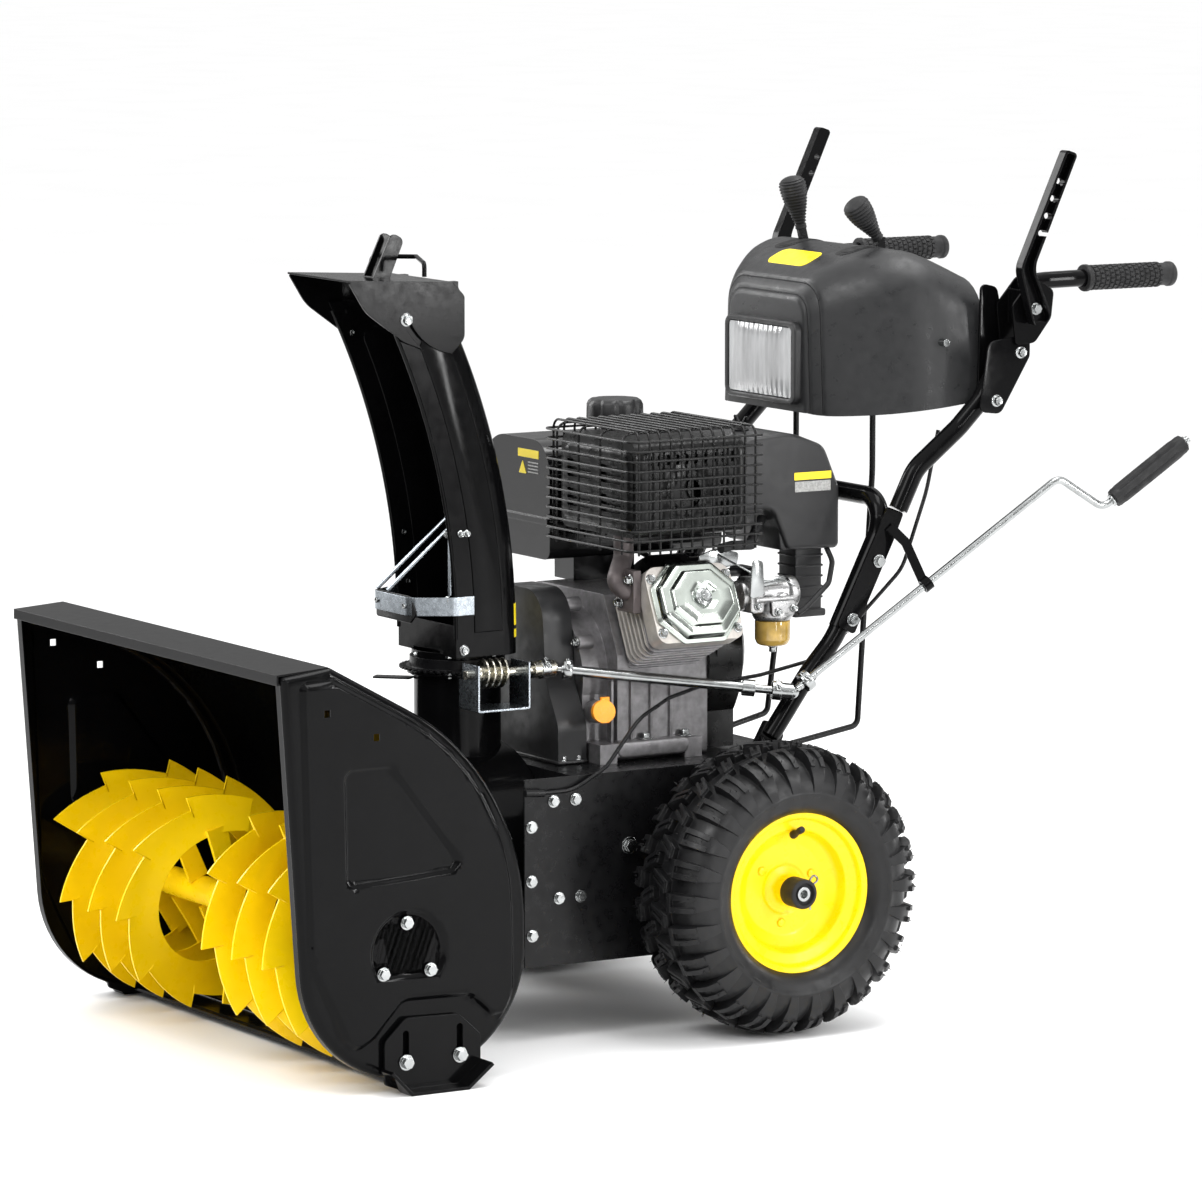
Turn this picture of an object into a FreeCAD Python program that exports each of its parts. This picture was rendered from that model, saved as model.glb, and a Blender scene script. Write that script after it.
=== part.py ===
"""Two stage snowblower: one STEP file for each sub-part, in millimetres.

+Z is up, -Y is the direction of travel (the auger is at the front), +X is the operator's left.
Heights are measured from the ground. Positions along Y are measured from the wheel axle here,
and every solid is moved by AXLE_Y when it is written, so that the frame's origin lies on the
ground under the middle of the machine's bounding box.
"""
import FreeCAD, Part
import math
import os

os.makedirs("parts", exist_ok=True)

V = FreeCAD.Vector

# ---------------------------------------------------------------- driving dimensions
AXLE_Y = 72.0            # axle line from the origin, along Y

SHEET = 2.5              # steel sheet of the housing and the chute
SIDE_X = 376.0           # outer face of the housing's side plates
RIM_DEPTH = 12.0         # depth of the side plates' turned-in rim
HOUSING_TOP = 539.0
HOUSING_BOTTOM = 15.0
HOUSING_BACK_Y = -426.0

AUGER_Y = -602.0
AUGER_Z = 173.0
AUGER_R = 154.0          # tips of the flights
AUGER_SHAFT_R = 12.5
AUGER_HUB_R = 19.0
RUN = 0.05               # radial clearance of a shaft in its bearing

WHEEL_GAP = 44.0         # from the auger shaft up to the impeller shaft
IMPELLER_Z = AUGER_Z + WHEEL_GAP
IMPELLER_R = 144.0
DRUM_R = 150.0
DRUM_BACK_Y = -254.5
IMPELLER_SHAFT_R = 9.5

CHUTE_Y = -313.0         # turning axis of the chute
PIPE_R = 57.0
RING_Z = 468.0
RING_R = 76.0
RING_TEETH = 48
RING_ROOT_R = 67.0
CHUTE_HALF = 76.0
CHUTE_DEPTH = 102.0
CHUTE_BEND = 930.0       # radius of the chute's backward lean
CHUTE_BACK_Y = -256.0
CHUTE_TOP_Z = 946.0

WORM_X = 88.4
WORM_Z = RING_Z + 1.5
WORM_R = 19.5
WORM_CORE_R = 10.5
WORM_PITCH = 2 * math.pi * 72.0 / RING_TEETH

HINGE_Y = -355.0         # hinge of the chute's deflector
HINGE_Z = 966.0

TYRE_R = 190.5
TYRE_HALF = 76.0
WHEEL_X = 283.0
RIM_R = 105.0
AXLE_R = 9.5
AXLE_Z = TYRE_R

FRAME_HALF = 190.0
FRAME_FRONT_Y = -323.0
FRAME_REAR_Y = 118.0
FRAME_BOTTOM = 98.0
FRAME_TOP = 344.0
FRAME_WALL = 3.0

CRANK_Z = 458.0          # crankshaft of the engine
CASE_FRONT_Y = -178.0
CASE_BACK_Y = -2.0
HEAD_TILT = math.radians(25.0)

TUBE_R = 12.7            # handle tubes
GRIP_X = 271.0
GRIP_Z = 961.0
GRIP_END_Y = 632.0
CLUTCH_X = 284.0
CLUTCH_PIVOT = (396.0, 926.0)
LEVER_PIVOT = (300.0, 880.0)
LEVER_X = 75.0


# ---------------------------------------------------------------- drawing helpers
def rounded_edges(points, closed):
    """Edges through points (x, y, z, radius): straight runs joined by tangent arcs."""
    count = len(points)
    entry = []
    leave = []
    arcs = []
    for i, point in enumerate(points):
        corner = V(*point[:3])
        radius = point[3] if len(point) > 3 else 0.0
        is_end = not closed and i in (0, count - 1)
        if is_end or radius == 0.0:
            entry.append(corner)
            leave.append(corner)
            arcs.append(None)
            continue
        back = (V(*points[i - 1][:3]) - corner).normalize()
        ahead = (V(*points[(i + 1) % count][:3]) - corner).normalize()
        half = back.getAngle(ahead) / 2
        reach = radius / math.tan(half)
        middle = corner + (back + ahead).normalize() * (radius / math.sin(half) - radius)
        entry.append(corner + back * reach)
        leave.append(corner + ahead * reach)
        arcs.append(middle)
    edges = []
    for i in range(count):
        if arcs[i] is not None:
            edges.append(Part.Arc(entry[i], arcs[i], leave[i]).toShape())
        is_last = i == count - 1
        if is_last and not closed:
            continue
        start = leave[i]
        end = entry[(i + 1) % count]
        if start.distanceToPoint(end) > 1e-4:
            edges.append(Part.LineSegment(start, end).toShape())
    return edges


def in_yz(x, points):
    """Outline points (y, z[, radius]) in the plane at x."""
    return [(x, p[0], p[1]) + tuple(p[2:]) for p in points]


def in_xz(y, points):
    """Outline points (x, z[, radius]) in the plane at y."""
    return [(p[0], y, p[1]) + tuple(p[2:]) for p in points]


def in_xy(z, points):
    """Outline points (x, y[, radius]) in the plane at z."""
    return [(p[0], p[1], z) + tuple(p[2:]) for p in points]


def face_of(points):
    """Flat face inside a closed rounded outline."""
    return Part.Face(Part.Wire(Part.__sortEdges__(rounded_edges(points, True))))


def plate(points, push):
    """Solid made by pushing a closed rounded outline along a vector."""
    return face_of(points).extrude(V(*push))


def box(low, high):
    """Solid box between two corners."""
    size = [high[i] - low[i] for i in range(3)]
    return Part.makeBox(size[0], size[1], size[2], V(*low))


def rod(start, end, radius):
    """Solid round rod between two points."""
    a = V(*start)
    b = V(*end)
    return Part.makeCylinder(radius, (b - a).Length, a, b - a)


def ring(start, end, outer, inner):
    """Solid round tube between two points."""
    return rod(start, end, outer).cut(rod(start, end, inner))


def pipe(points, radius, inner=0.0):
    """Round bar, or tube, along straight runs joined by tangent arcs."""
    edges = rounded_edges(points, False)
    path = Part.Wire(edges)
    start = edges[0].valueAt(edges[0].FirstParameter)
    heading = edges[0].tangentAt(edges[0].FirstParameter)

    def swept(r):
        section = Part.Wire(Part.makeCircle(r, start, heading))
        return path.makePipeShell([section], True, False)

    outer = swept(radius)
    return outer.cut(swept(inner)) if inner else outer


def turned(profile, origin, axis, along):
    """Solid of revolution: profile points (radius, distance) round an axis through origin."""
    base = V(*origin)
    unit = V(*along)
    side = V(*axis)
    points = [base + side * r + unit * d for r, d in profile]
    wire = Part.makePolygon(points + [points[0]])
    return Part.Face(wire).revolve(base, unit, 360)


def hex_bolt(point, along, size=8.0, head=6.0, shank=6.0, washer=True):
    """Flange bolt: hexagon head, washer and a short shank behind the face at point."""
    base = V(*point)
    unit = V(*along).normalize()
    side = unit.cross(V(0, 0, 1))
    if side.Length < 0.1:
        side = unit.cross(V(0, 1, 0))
    side.normalize()
    other = unit.cross(side)
    corner = size * 0.94
    start = base + unit * (1.6 if washer else 0.0)
    points = []
    for k in range(6):
        angle = math.radians(60 * k)
        points.append(start + side * (corner * math.cos(angle)) + other * (corner * math.sin(angle)))
    solid = Part.Face(Part.makePolygon(points + [points[0]])).extrude(unit * head)
    if washer:
        solid = solid.fuse(Part.makeCylinder(size * 1.25, 1.6, base, unit))
    if shank:
        solid = solid.fuse(Part.makeCylinder(size * 0.5, shank, base, unit * -1))
    return solid


def mirrored(shape):
    """The same shape on the other side of the machine."""
    return shape.mirror(V(0, 0, 0), V(1, 0, 0))


def both(shape):
    """A group of a shape and its mirror image."""
    return Part.makeCompound([shape, mirrored(shape)])


def write(name, shape):
    """Write one sub-part, in the frame whose origin is under the middle of the machine."""
    solids = [s for s in shape.Solids]
    moved = Part.makeCompound(solids) if len(solids) > 1 else solids[0]
    moved = moved.copy()
    moved.translate(V(0, AXLE_Y, 0))
    if not moved.isValid():
        print("not valid:", name)
    moved.exportStep("parts/" + name + ".step")


# ---------------------------------------------------------------- auger housing
def side_outline(inset=0.0):
    """Closed outline of a side plate, in Y and Z."""
    top = HOUSING_TOP - inset
    low = HOUSING_BOTTOM + inset
    back = HOUSING_BACK_Y - inset
    return [
        (-772 + inset, top - 8, 5),
        (-704 - inset * 0.3, top, 10),
        (back, 387 - inset * 1.1, 322),
        (back, low, 152 - inset),
        (-737 + inset, low, 150 - inset),
    ]


SKID_BOLTS = [(-606.0, 38.0), (-529.0, 40.0)]
SKID_X = SIDE_X + 0.2
BEARING_BOLTS = [90.0, 213.0, 327.0]
BEARING_BOLT_R = 40.0


def bearing_bolt(angle):
    """Position in Y and Z of one bolt of the auger bearing."""
    turn = math.radians(angle)
    return AUGER_Y + BEARING_BOLT_R * math.cos(turn), AUGER_Z + BEARING_BOLT_R * math.sin(turn)


def side_plate():
    """Left side plate: a pressed tray with a turned-in rim and square holes near its top."""
    outer = plate(in_yz(SIDE_X - RIM_DEPTH, side_outline()), (RIM_DEPTH, 0, 0))
    inner = plate(in_yz(SIDE_X - RIM_DEPTH - 1, side_outline(SHEET)), (RIM_DEPTH + 1 - SHEET, 0, 0))
    body = outer.cut(inner)
    holes = []
    for y, z in ((-713.0, 483.5), (-644.0, 449.0)):
        holes.append(box((SIDE_X - 5, y - 4.5, z - 4.5), (SIDE_X + 5, y + 4.5, z + 4.5)))
    for y, z in SKID_BOLTS:
        holes.append(rod((SIDE_X - 5, y, z), (SIDE_X + 5, y, z), 4.2))
    return body.cut(holes)


def housing_shell():
    """Curved sheet between the side plates, open at the front, with the hole for the drum."""
    half = SIDE_X - RIM_DEPTH
    outer = plate(in_yz(-half, side_outline()), (2 * half, 0, 0))
    inner = plate(in_yz(-half - 1, side_outline(SHEET)), (2 * half + 2, 0, 0))
    shell = outer.cut(inner)
    front = box((-half - 1, -800, -10), (half + 1, -704, 600))
    floor = box((-half - 1, -710, -10), (half + 1, -561, 120))
    opening = rod((0, HOUSING_BACK_Y - 60, IMPELLER_Z), (0, HOUSING_BACK_Y + 60, IMPELLER_Z), DRUM_R)
    return shell.cut([front, floor, opening])


def housing_beam():
    """Folded stiffening beam along the top front edge."""
    half = SIDE_X - RIM_DEPTH
    section = [(-776, 534), (-704, 539), (-704, 536.5), (-773.5, 531.6), (-773.5, 521), (-776, 521)]
    beam = plate(in_yz(-half, section), (2 * half, 0, 0))
    lip = box((-half, -773.5, 521), (half, -760, 523.5))
    return beam.fuse(lip)


def scraper_bar():
    """Replaceable wear bar under the lower lip of the housing."""
    half = SIDE_X - RIM_DEPTH - 3
    low = HOUSING_BOTTOM - 6
    return box((-half, -606, low), (half, -561, HOUSING_BOTTOM)).cut(
        box((-half - 1, -615, HOUSING_BOTTOM - 2), (half + 1, -600, HOUSING_BOTTOM + 1)))


def drum():
    """Impeller drum with its back plate and the discharge pipe."""
    front = (0, HOUSING_BACK_Y - 60, IMPELLER_Z)
    back = (0, DRUM_BACK_Y, IMPELLER_Z)
    pipe_low = (0, CHUTE_Y, IMPELLER_Z)
    pipe_top = (0, CHUTE_Y, RING_Z - 6)
    outer = rod(front, back, DRUM_R).fuse(rod(pipe_low, pipe_top, PIPE_R))
    hollow = rod((0, HOUSING_BACK_Y - 70, IMPELLER_Z), (0, DRUM_BACK_Y - SHEET, IMPELLER_Z), DRUM_R - SHEET)
    bore = rod(pipe_low, (0, CHUTE_Y, RING_Z + 5), PIPE_R - SHEET)
    shaft_hole = rod((0, DRUM_BACK_Y - 10, IMPELLER_Z), (0, DRUM_BACK_Y + 10, IMPELLER_Z), 22.0)
    body = outer.cut([hollow, bore, shaft_hole])
    flange = ring((0, CHUTE_Y, RING_Z - 6), (0, CHUTE_Y, RING_Z - 3), PIPE_R + 9, PIPE_R - SHEET)
    body = body.fuse(flange)
    inside = plate(in_yz(-DRUM_R - 5, side_outline(0.0)), (2 * DRUM_R + 10, 0, 0))
    return body.cut(inside)


def skid_shoe():
    """Left skid shoe: slotted plate with an outward foot whose ends curl up."""
    x = SKID_X
    top = [
        (-636, 12, 6), (-636, 66, 10), (-606, 94, 12), (-530, 92, 12),
        (-499, 64, 10), (-499, 25, 6), (-530, 3, 6), (-612, 3, 6),
    ]
    upright = plate(in_yz(x, top), (4.0, 0, 0))
    foot_line = [
        (-641, 30), (-612, 0), (-530, 0), (-494, 28), (-497, 31.5), (-531.4, 4), (-610.4, 4), (-638, 33)]
    foot = plate(in_yz(x, foot_line), (30.0, 0, 0))
    body = upright.fuse(foot)
    slots = []
    for y, z in SKID_BOLTS:
        slot = [
            (y - 4.6, z - 4.6, 4.5), (y - 4.6, z + 40, 4.5), (y + 4.6, z + 40, 4.5), (y + 4.6, z - 4.6, 4.5)]
        slots.append(plate(in_yz(x - 1, slot), (8.0, 0, 0)))
    return body.cut(slots)


def housing_bolts():
    """Bolts of the left side plate: auger bearing and skid shoe."""
    solids = []
    for angle in BEARING_BOLTS:
        y, z = bearing_bolt(angle)
        solids.append(hex_bolt((SIDE_X, y, z), (1, 0, 0), 7.0, 6.0, 0.0))
    for y, z in SKID_BOLTS:
        bolt = hex_bolt((SKID_X + 4.2, y, z), (1, 0, 0), 8.0, 7.0, 6.8)
        solids.append(bolt)
    return solids


# ---------------------------------------------------------------- auger and impeller
def flight(start_x, length, turns, inner, outer, hand, thickness):
    """One helical ribbon round the auger shaft."""
    pitch = length / turns
    helix = Part.makeHelix(pitch, length, (inner + outer) / 2, 0, hand < 0)
    half = thickness / 2
    middle = (inner + outer) / 2
    section = Part.makePolygon([
        V(inner, 0, -half), V(outer, 0, -half), V(outer, 0, half), V(inner, 0, half), V(inner, 0, -half)])
    sweep = Part.BRepOffsetAPI.MakePipeShell(Part.Wire(helix))
    sweep.setFrenetMode(True)
    sweep.add(section)
    sweep.build()
    sweep.makeSolid()
    solid = sweep.shape()
    solid.rotate(V(0, 0, 0), V(0, 1, 0), 90)
    solid.translate(V(start_x, AUGER_Y, AUGER_Z))
    return solid


def auger():
    """Left half of the auger: hub tube, two helical ribbons and the spokes that carry them."""
    near = 62.0
    far = 352.0
    length = far - near - 16
    turns = 1.69
    inner = 92.0
    solids = [ring((near, AUGER_Y, AUGER_Z), (far, AUGER_Y, AUGER_Z), AUGER_HUB_R, AUGER_SHAFT_R)]
    for phase in (-10.0, 170.0):
        ribbon = flight(near + 8, length, turns, inner, AUGER_R, 1, 4.0)
        ribbon.rotate(V(0, AUGER_Y, AUGER_Z), V(1, 0, 0), phase)
        solids.append(ribbon)
        for share in (0.04, 0.35, 0.66, 0.96):
            turn = math.radians(phase + 360.0 * turns * share)
            x = near + 8 + length * share
            reach = inner - 0.5
            root = AUGER_HUB_R + 0.1
            heading = (math.sin(turn), -math.cos(turn))
            start = (x, AUGER_Y + root * heading[0], AUGER_Z + root * heading[1])
            end = (x, AUGER_Y + reach * heading[0], AUGER_Z + reach * heading[1])
            solids.append(rod(start, end, 6.0))
    return Part.makeCompound(solids)


def auger_shaft():
    """Auger shaft with the bronze wheel that the impeller shaft's worm drives."""
    shaft = rod((-368, AUGER_Y, AUGER_Z), (368, AUGER_Y, AUGER_Z), AUGER_SHAFT_R)
    wheel = ring((-10, AUGER_Y, AUGER_Z), (10, AUGER_Y, AUGER_Z), 33.5, AUGER_SHAFT_R)
    return Part.makeCompound([shaft, wheel])


def auger_gearbox():
    """Cast gear case round the middle of the auger shaft."""
    outer = rod((-40, AUGER_Y, AUGER_Z), (40, AUGER_Y, AUGER_Z), 52.0)
    outer = outer.fuse(rod((0, AUGER_Y - 48, IMPELLER_Z), (0, AUGER_Y + 56, IMPELLER_Z), 26.0))
    outer = outer.fuse(rod((-60, AUGER_Y, AUGER_Z), (60, AUGER_Y, AUGER_Z), 22.0))
    outer = outer.fuse(rod((0, AUGER_Y, IMPELLER_Z), (0, AUGER_Y + 78, IMPELLER_Z), 18.0))
    inner = rod((-36, AUGER_Y, AUGER_Z), (36, AUGER_Y, AUGER_Z), 47.0)
    inner = inner.fuse(rod((0, AUGER_Y - 44, IMPELLER_Z), (0, AUGER_Y + 52, IMPELLER_Z), 21.5))
    bores = [
        rod((-61, AUGER_Y, AUGER_Z), (61, AUGER_Y, AUGER_Z), AUGER_SHAFT_R + RUN),
        rod((0, AUGER_Y, IMPELLER_Z), (0, AUGER_Y + 80, IMPELLER_Z), IMPELLER_SHAFT_R + RUN),
    ]
    return outer.cut([inner] + bores)


def impeller_shaft():
    """Shaft from the gear case through the impeller to its pulley, with worm and pulley."""
    shaft = rod((0, AUGER_Y - 40, IMPELLER_Z), (0, -188, IMPELLER_Z), IMPELLER_SHAFT_R)
    worm = ring((0, AUGER_Y - 28, IMPELLER_Z), (0, AUGER_Y + 28, IMPELLER_Z), 10.0, IMPELLER_SHAFT_R)
    profile = [
        (IMPELLER_SHAFT_R, 0), (88, 0), (88, 3), (80, 9), (88, 15), (88, 18), (IMPELLER_SHAFT_R, 18)]
    pulley = turned(profile, (0, -216, IMPELLER_Z), (1, 0, 0), (0, 1, 0))
    return Part.makeCompound([shaft, worm, pulley])


def impeller():
    """Four-bladed impeller that throws the snow up the chute."""
    back = DRUM_BACK_Y - 14
    hub = rod((0, back - 60, IMPELLER_Z), (0, back, IMPELLER_Z), 20.0)
    disc = rod((0, back - 3, IMPELLER_Z), (0, back, IMPELLER_Z), 70.0)
    body = hub.fuse(disc)
    for k in range(4):
        blade = box((-1.6, back - 96, IMPELLER_Z + 10), (1.6, back, IMPELLER_Z + IMPELLER_R))
        tip = box((-1.6, back - 96, IMPELLER_Z + IMPELLER_R - 3), (24, back - 10, IMPELLER_Z + IMPELLER_R))
        vane = blade.fuse(tip)
        vane = vane.common(rod((0, back - 100, IMPELLER_Z), (0, back, IMPELLER_Z), IMPELLER_R))
        vane.rotate(V(0, 0, IMPELLER_Z), V(0, 1, 0), 90 * k + 20)
        body = body.fuse(vane)
    return body.cut(rod((0, back - 70, IMPELLER_Z), (0, back + 5, IMPELLER_Z), IMPELLER_SHAFT_R))


def shaft_bearings():
    """Flanged bearings of the auger shaft, the wheel axle and the impeller shaft."""
    plate_in = SIDE_X - SHEET
    auger_flange = rod((plate_in - 3, AUGER_Y, AUGER_Z), (plate_in, AUGER_Y, AUGER_Z), 50.0)
    auger_boss = rod((354, AUGER_Y, AUGER_Z), (plate_in - 3, AUGER_Y, AUGER_Z), 24.0)
    auger_bore = rod((350, AUGER_Y, AUGER_Z), (369, AUGER_Y, AUGER_Z), AUGER_SHAFT_R + RUN)
    auger_bearing = auger_flange.fuse(auger_boss).cut(auger_bore)
    axle_flange = rod((FRAME_HALF, 0, AXLE_Z), (FRAME_HALF + 3, 0, AXLE_Z), 30.0)
    axle_boss = rod((FRAME_HALF - FRAME_WALL, 0, AXLE_Z), (FRAME_HALF + 11, 0, AXLE_Z), 20.0)
    axle_bore = rod((FRAME_HALF - 10, 0, AXLE_Z), (FRAME_HALF + 20, 0, AXLE_Z), AXLE_R + RUN)
    axle_bearing = axle_flange.fuse(axle_boss).cut(axle_bore)
    back = DRUM_BACK_Y
    impeller_bearing = ring(
        (0, back - SHEET, IMPELLER_Z), (0, back + 12, IMPELLER_Z), 22.0, IMPELLER_SHAFT_R + RUN)
    return Part.makeCompound([
        auger_bearing, mirrored(auger_bearing), axle_bearing, mirrored(axle_bearing), impeller_bearing])


# ---------------------------------------------------------------- chute
def lean(y, z):
    """Y of a chute edge that starts upright at y and leans forward above the neck."""
    rise = max(0.0, z - (RING_Z + 52))
    return y - CHUTE_BEND + math.sqrt(CHUTE_BEND ** 2 - rise ** 2)


def chute_side(back, front, low, high):
    """Closed side outline of the chute between two leaning edges, as a face at x = 0."""
    middle = (low + high) / 2
    bend = RING_Z + 52
    rear_arc = Part.Arc(V(0, back, bend), V(0, lean(back, (bend + high) / 2), (bend + high) / 2),
                        V(0, lean(back, high), high))
    front_arc = Part.Arc(V(0, lean(front, high), high), V(0, lean(front, middle), middle),
                         V(0, front, bend))
    edges = [
        Part.LineSegment(V(0, back, low), V(0, back, bend)).toShape(),
        rear_arc.toShape(),
        Part.LineSegment(V(0, lean(back, high), high), V(0, lean(front, high), high)).toShape(),
        front_arc.toShape(),
        Part.LineSegment(V(0, front, bend), V(0, front, low)).toShape(),
        Part.LineSegment(V(0, front, low), V(0, back, low)).toShape(),
    ]
    return Part.Face(Part.Wire(edges))


def chute_bolt_y_z():
    """Place of the bolt that rides in the deflector's slot."""
    return -433.0, 933.0


def chute():
    """Discharge chute: a leaning channel open to the front, on a round neck."""
    front = CHUTE_BACK_Y - CHUTE_DEPTH
    low = RING_Z + 22
    outer = chute_side(CHUTE_BACK_Y, front, low, CHUTE_TOP_Z).extrude(V(2 * CHUTE_HALF, 0, 0))
    outer.translate(V(-CHUTE_HALF, 0, 0))
    rear_edges = []
    for edge in outer.Edges:
        ends = [vertex.Point for vertex in edge.Vertexes]
        on_side = all(abs(abs(p.x) - CHUTE_HALF) < 0.1 for p in ends)
        on_back = all(abs(p.y - lean(CHUTE_BACK_Y, p.z)) < 0.5 for p in ends)
        if on_side and on_back and abs(ends[0].z - ends[-1].z) > 5:
            rear_edges.append(edge)
    outer = outer.makeFillet(30.0, rear_edges)
    inner_back = CHUTE_BACK_Y - SHEET
    inner = chute_side(inner_back, front - 30, low - 5, CHUTE_TOP_Z + 40)
    inner = inner.extrude(V(2 * (CHUTE_HALF - SHEET), 0, 0))
    inner.translate(V(-(CHUTE_HALF - SHEET), 0, 0))
    inner_edges = []
    for edge in inner.Edges:
        ends = [vertex.Point for vertex in edge.Vertexes]
        on_side = all(abs(abs(p.x) - CHUTE_HALF + SHEET) < 0.1 for p in ends)
        on_back = all(abs(p.y - lean(inner_back, p.z)) < 0.5 for p in ends)
        if on_side and on_back and abs(ends[0].z - ends[-1].z) > 5:
            inner_edges.append(edge)
    inner = inner.makeFillet(30.0 - SHEET, inner_edges)
    channel = outer.cut(inner)
    neck = ring((0, CHUTE_Y, RING_Z + 4), (0, CHUTE_Y, low + 3), PIPE_R + 3, PIPE_R + 0.5)
    shoulder = plate(in_xy(low, [
        (-CHUTE_HALF + 1, front, 4), (CHUTE_HALF - 1, front, 4),
        (CHUTE_HALF - 1, CHUTE_BACK_Y - 1, 28), (-CHUTE_HALF + 1, CHUTE_BACK_Y - 1, 28)]), (0, 0, 3))
    shoulder = shoulder.cut(rod((0, CHUTE_Y, low - 1), (0, CHUTE_Y, low + 5), PIPE_R + 0.5))
    front_wall = box((-CHUTE_HALF + 1, front, low), (CHUTE_HALF - 1, front + SHEET, low + 42))
    front_wall = front_wall.cut(rod((0, CHUTE_Y, low - 1), (0, CHUTE_Y, low + 4), PIPE_R + 0.5))
    body = channel.fuse([neck, shoulder, front_wall])
    bolt_y, bolt_z = chute_bolt_y_z()
    pin = rod((-CHUTE_HALF - 5, bolt_y, bolt_z), (-CHUTE_HALF + 6, bolt_y, bolt_z), 4.0)
    body = body.fuse(both(pin).Solids)
    hinge = rod((-CHUTE_HALF + 4, HINGE_Y, HINGE_Z), (CHUTE_HALF - 4, HINGE_Y, HINGE_Z), 4.0)
    lug = box((-50, HINGE_Y - 5, HINGE_Z - 34), (50, HINGE_Y - 1, HINGE_Z))
    return body.fuse([hinge, lug])


def chute_ring():
    """Toothed ring under the chute, turned by the worm."""
    body = ring((0, CHUTE_Y, RING_Z), (0, CHUTE_Y, RING_Z + 3), RING_R, PIPE_R + 0.5)
    collar = ring((0, CHUTE_Y, RING_Z + 3), (0, CHUTE_Y, RING_Z + 16), PIPE_R + 5.5, PIPE_R + 3.1)
    notches = []
    for k in range(RING_TEETH):
        notch = box((RING_ROOT_R, -2.9, RING_Z - 1), (RING_R + 3, 2.9, RING_Z + 5))
        notch.rotate(V(0, 0, 0), V(0, 0, 1), k * 360.0 / RING_TEETH)
        notch.translate(V(0, CHUTE_Y, 0))
        notches.append(notch)
    return body.fuse(collar).cut(notches)


def chute_guard():
    """Galvanised band across the front of the chute's foot, with its two rods."""
    x = CHUTE_HALF + 0.2
    front = CHUTE_BACK_Y - CHUTE_DEPTH
    line = [(x, front + 26), (x, front - 2, 8), (46, front - 52, 14), (-46, front - 52, 14),
            (-x, front - 2, 8), (-x, front + 26)]
    back = [(-x - 2, front + 26), (-x - 2, front - 3, 10), (-47, front - 54, 16), (47, front - 54, 16),
            (x + 2, front - 3, 10), (x + 2, front + 26)]
    band = plate(in_xy(RING_Z + 78, line + back), (0, 0, 24))
    low = (-30.0, front - 50, RING_Z + 104)
    rods = []
    for shift in (-14.0, 14.0):
        start = (low[0] + shift, low[1], low[2])
        end = (low[0] + shift + 40, front + 44, RING_Z + 205)
        rods.append(rod(start, end, 3.0))
    upright = rod((x - 8, front - 4, RING_Z + 104), (x - 8, front - 4, RING_Z + 182), 3.0)
    return Part.makeCompound([band] + rods + [upright])


DEFLECTOR_X = CHUTE_HALF + 2.5
SLOT_R = math.hypot(-433.0 - HINGE_Y, 933.0 - HINGE_Z)
DEFLECTOR_TILT = 55.0


def deflector():
    """Hinged hood over the mouth of the chute, with its slotted cheeks and grab lever."""
    x = DEFLECTOR_X
    outline = [
        (-517, 984, 2), (-362, 976, 4), (-347, 960, 8), (-347, 905, 16), (-372, 880, 10), (-436, 904, 60),
        (-492, 944, 60)]
    cheek = plate(in_yz(x, outline), (2.5, 0, 0))
    start = math.atan2(933.0 - HINGE_Z, -433.0 - HINGE_Y) % (2 * math.pi)
    slot_parts = []
    steps = 40
    sweep = math.radians(DEFLECTOR_TILT + 1.5)
    for k in range(steps + 1):
        angle = start + sweep * k / steps
        y = HINGE_Y + SLOT_R * math.cos(angle)
        z = HINGE_Z + SLOT_R * math.sin(angle)
        slot_parts.append(rod((x - 1, y, z), (x + 4, y, z), 4.6))
    cheek = cheek.cut(slot_parts)
    roof_line = [(-517, 984), (-362, 976), (-362, 978.5), (-517, 986.5)]
    roof = plate(in_yz(-x - 2.5, roof_line), (2 * x + 5, 0, 0))
    body = roof.fuse([cheek, mirrored(cheek)])
    ear = box((60, HINGE_Y - 7, HINGE_Z), (70, HINGE_Y + 5, HINGE_Z + 12))
    barrel = rod((60, HINGE_Y, HINGE_Z), (70, HINGE_Y, HINGE_Z), 6.5)
    knuckle = barrel.fuse(ear)
    bore = rod((-80, HINGE_Y, HINGE_Z), (80, HINGE_Y, HINGE_Z), 4.0 + RUN)
    body = body.fuse([knuckle, mirrored(knuckle)]).cut(bore)
    lever_line = [(-444, 981, 2), (-416, 1040, 8), (-398, 1030, 8), (-420, 979, 2)]
    lever_gap = [(-446, 985), (-418, 1044), (-392, 1030), (-414, 970)]
    lever = plate(in_yz(-14, lever_line), (28, 0, 0)).cut(plate(in_yz(-11.5, lever_gap), (23, 0, 0)))
    grab = pipe([
        (70, -400, 986), (70, -400, 1003, 8), (0, -372, 1006), (-70, -400, 1003, 8), (-70, -400, 986)], 3.0)
    return Part.makeCompound([body.fuse(lever).fuse(grab)])


# ---------------------------------------------------------------- chute crank
JOINT_ONE = (WORM_X, -226.0, WORM_Z)
JOINT_TWO = (232.0, 58.0, 435.0)
CRANK_TOP = (300.0, 410.0, 689.0)


def toward(start, end, distance):
    """Point at a distance from start on the way to end."""
    a = V(*start)
    step = (V(*end) - a).normalize()
    point = a + step * distance
    return point.x, point.y, point.z


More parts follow.
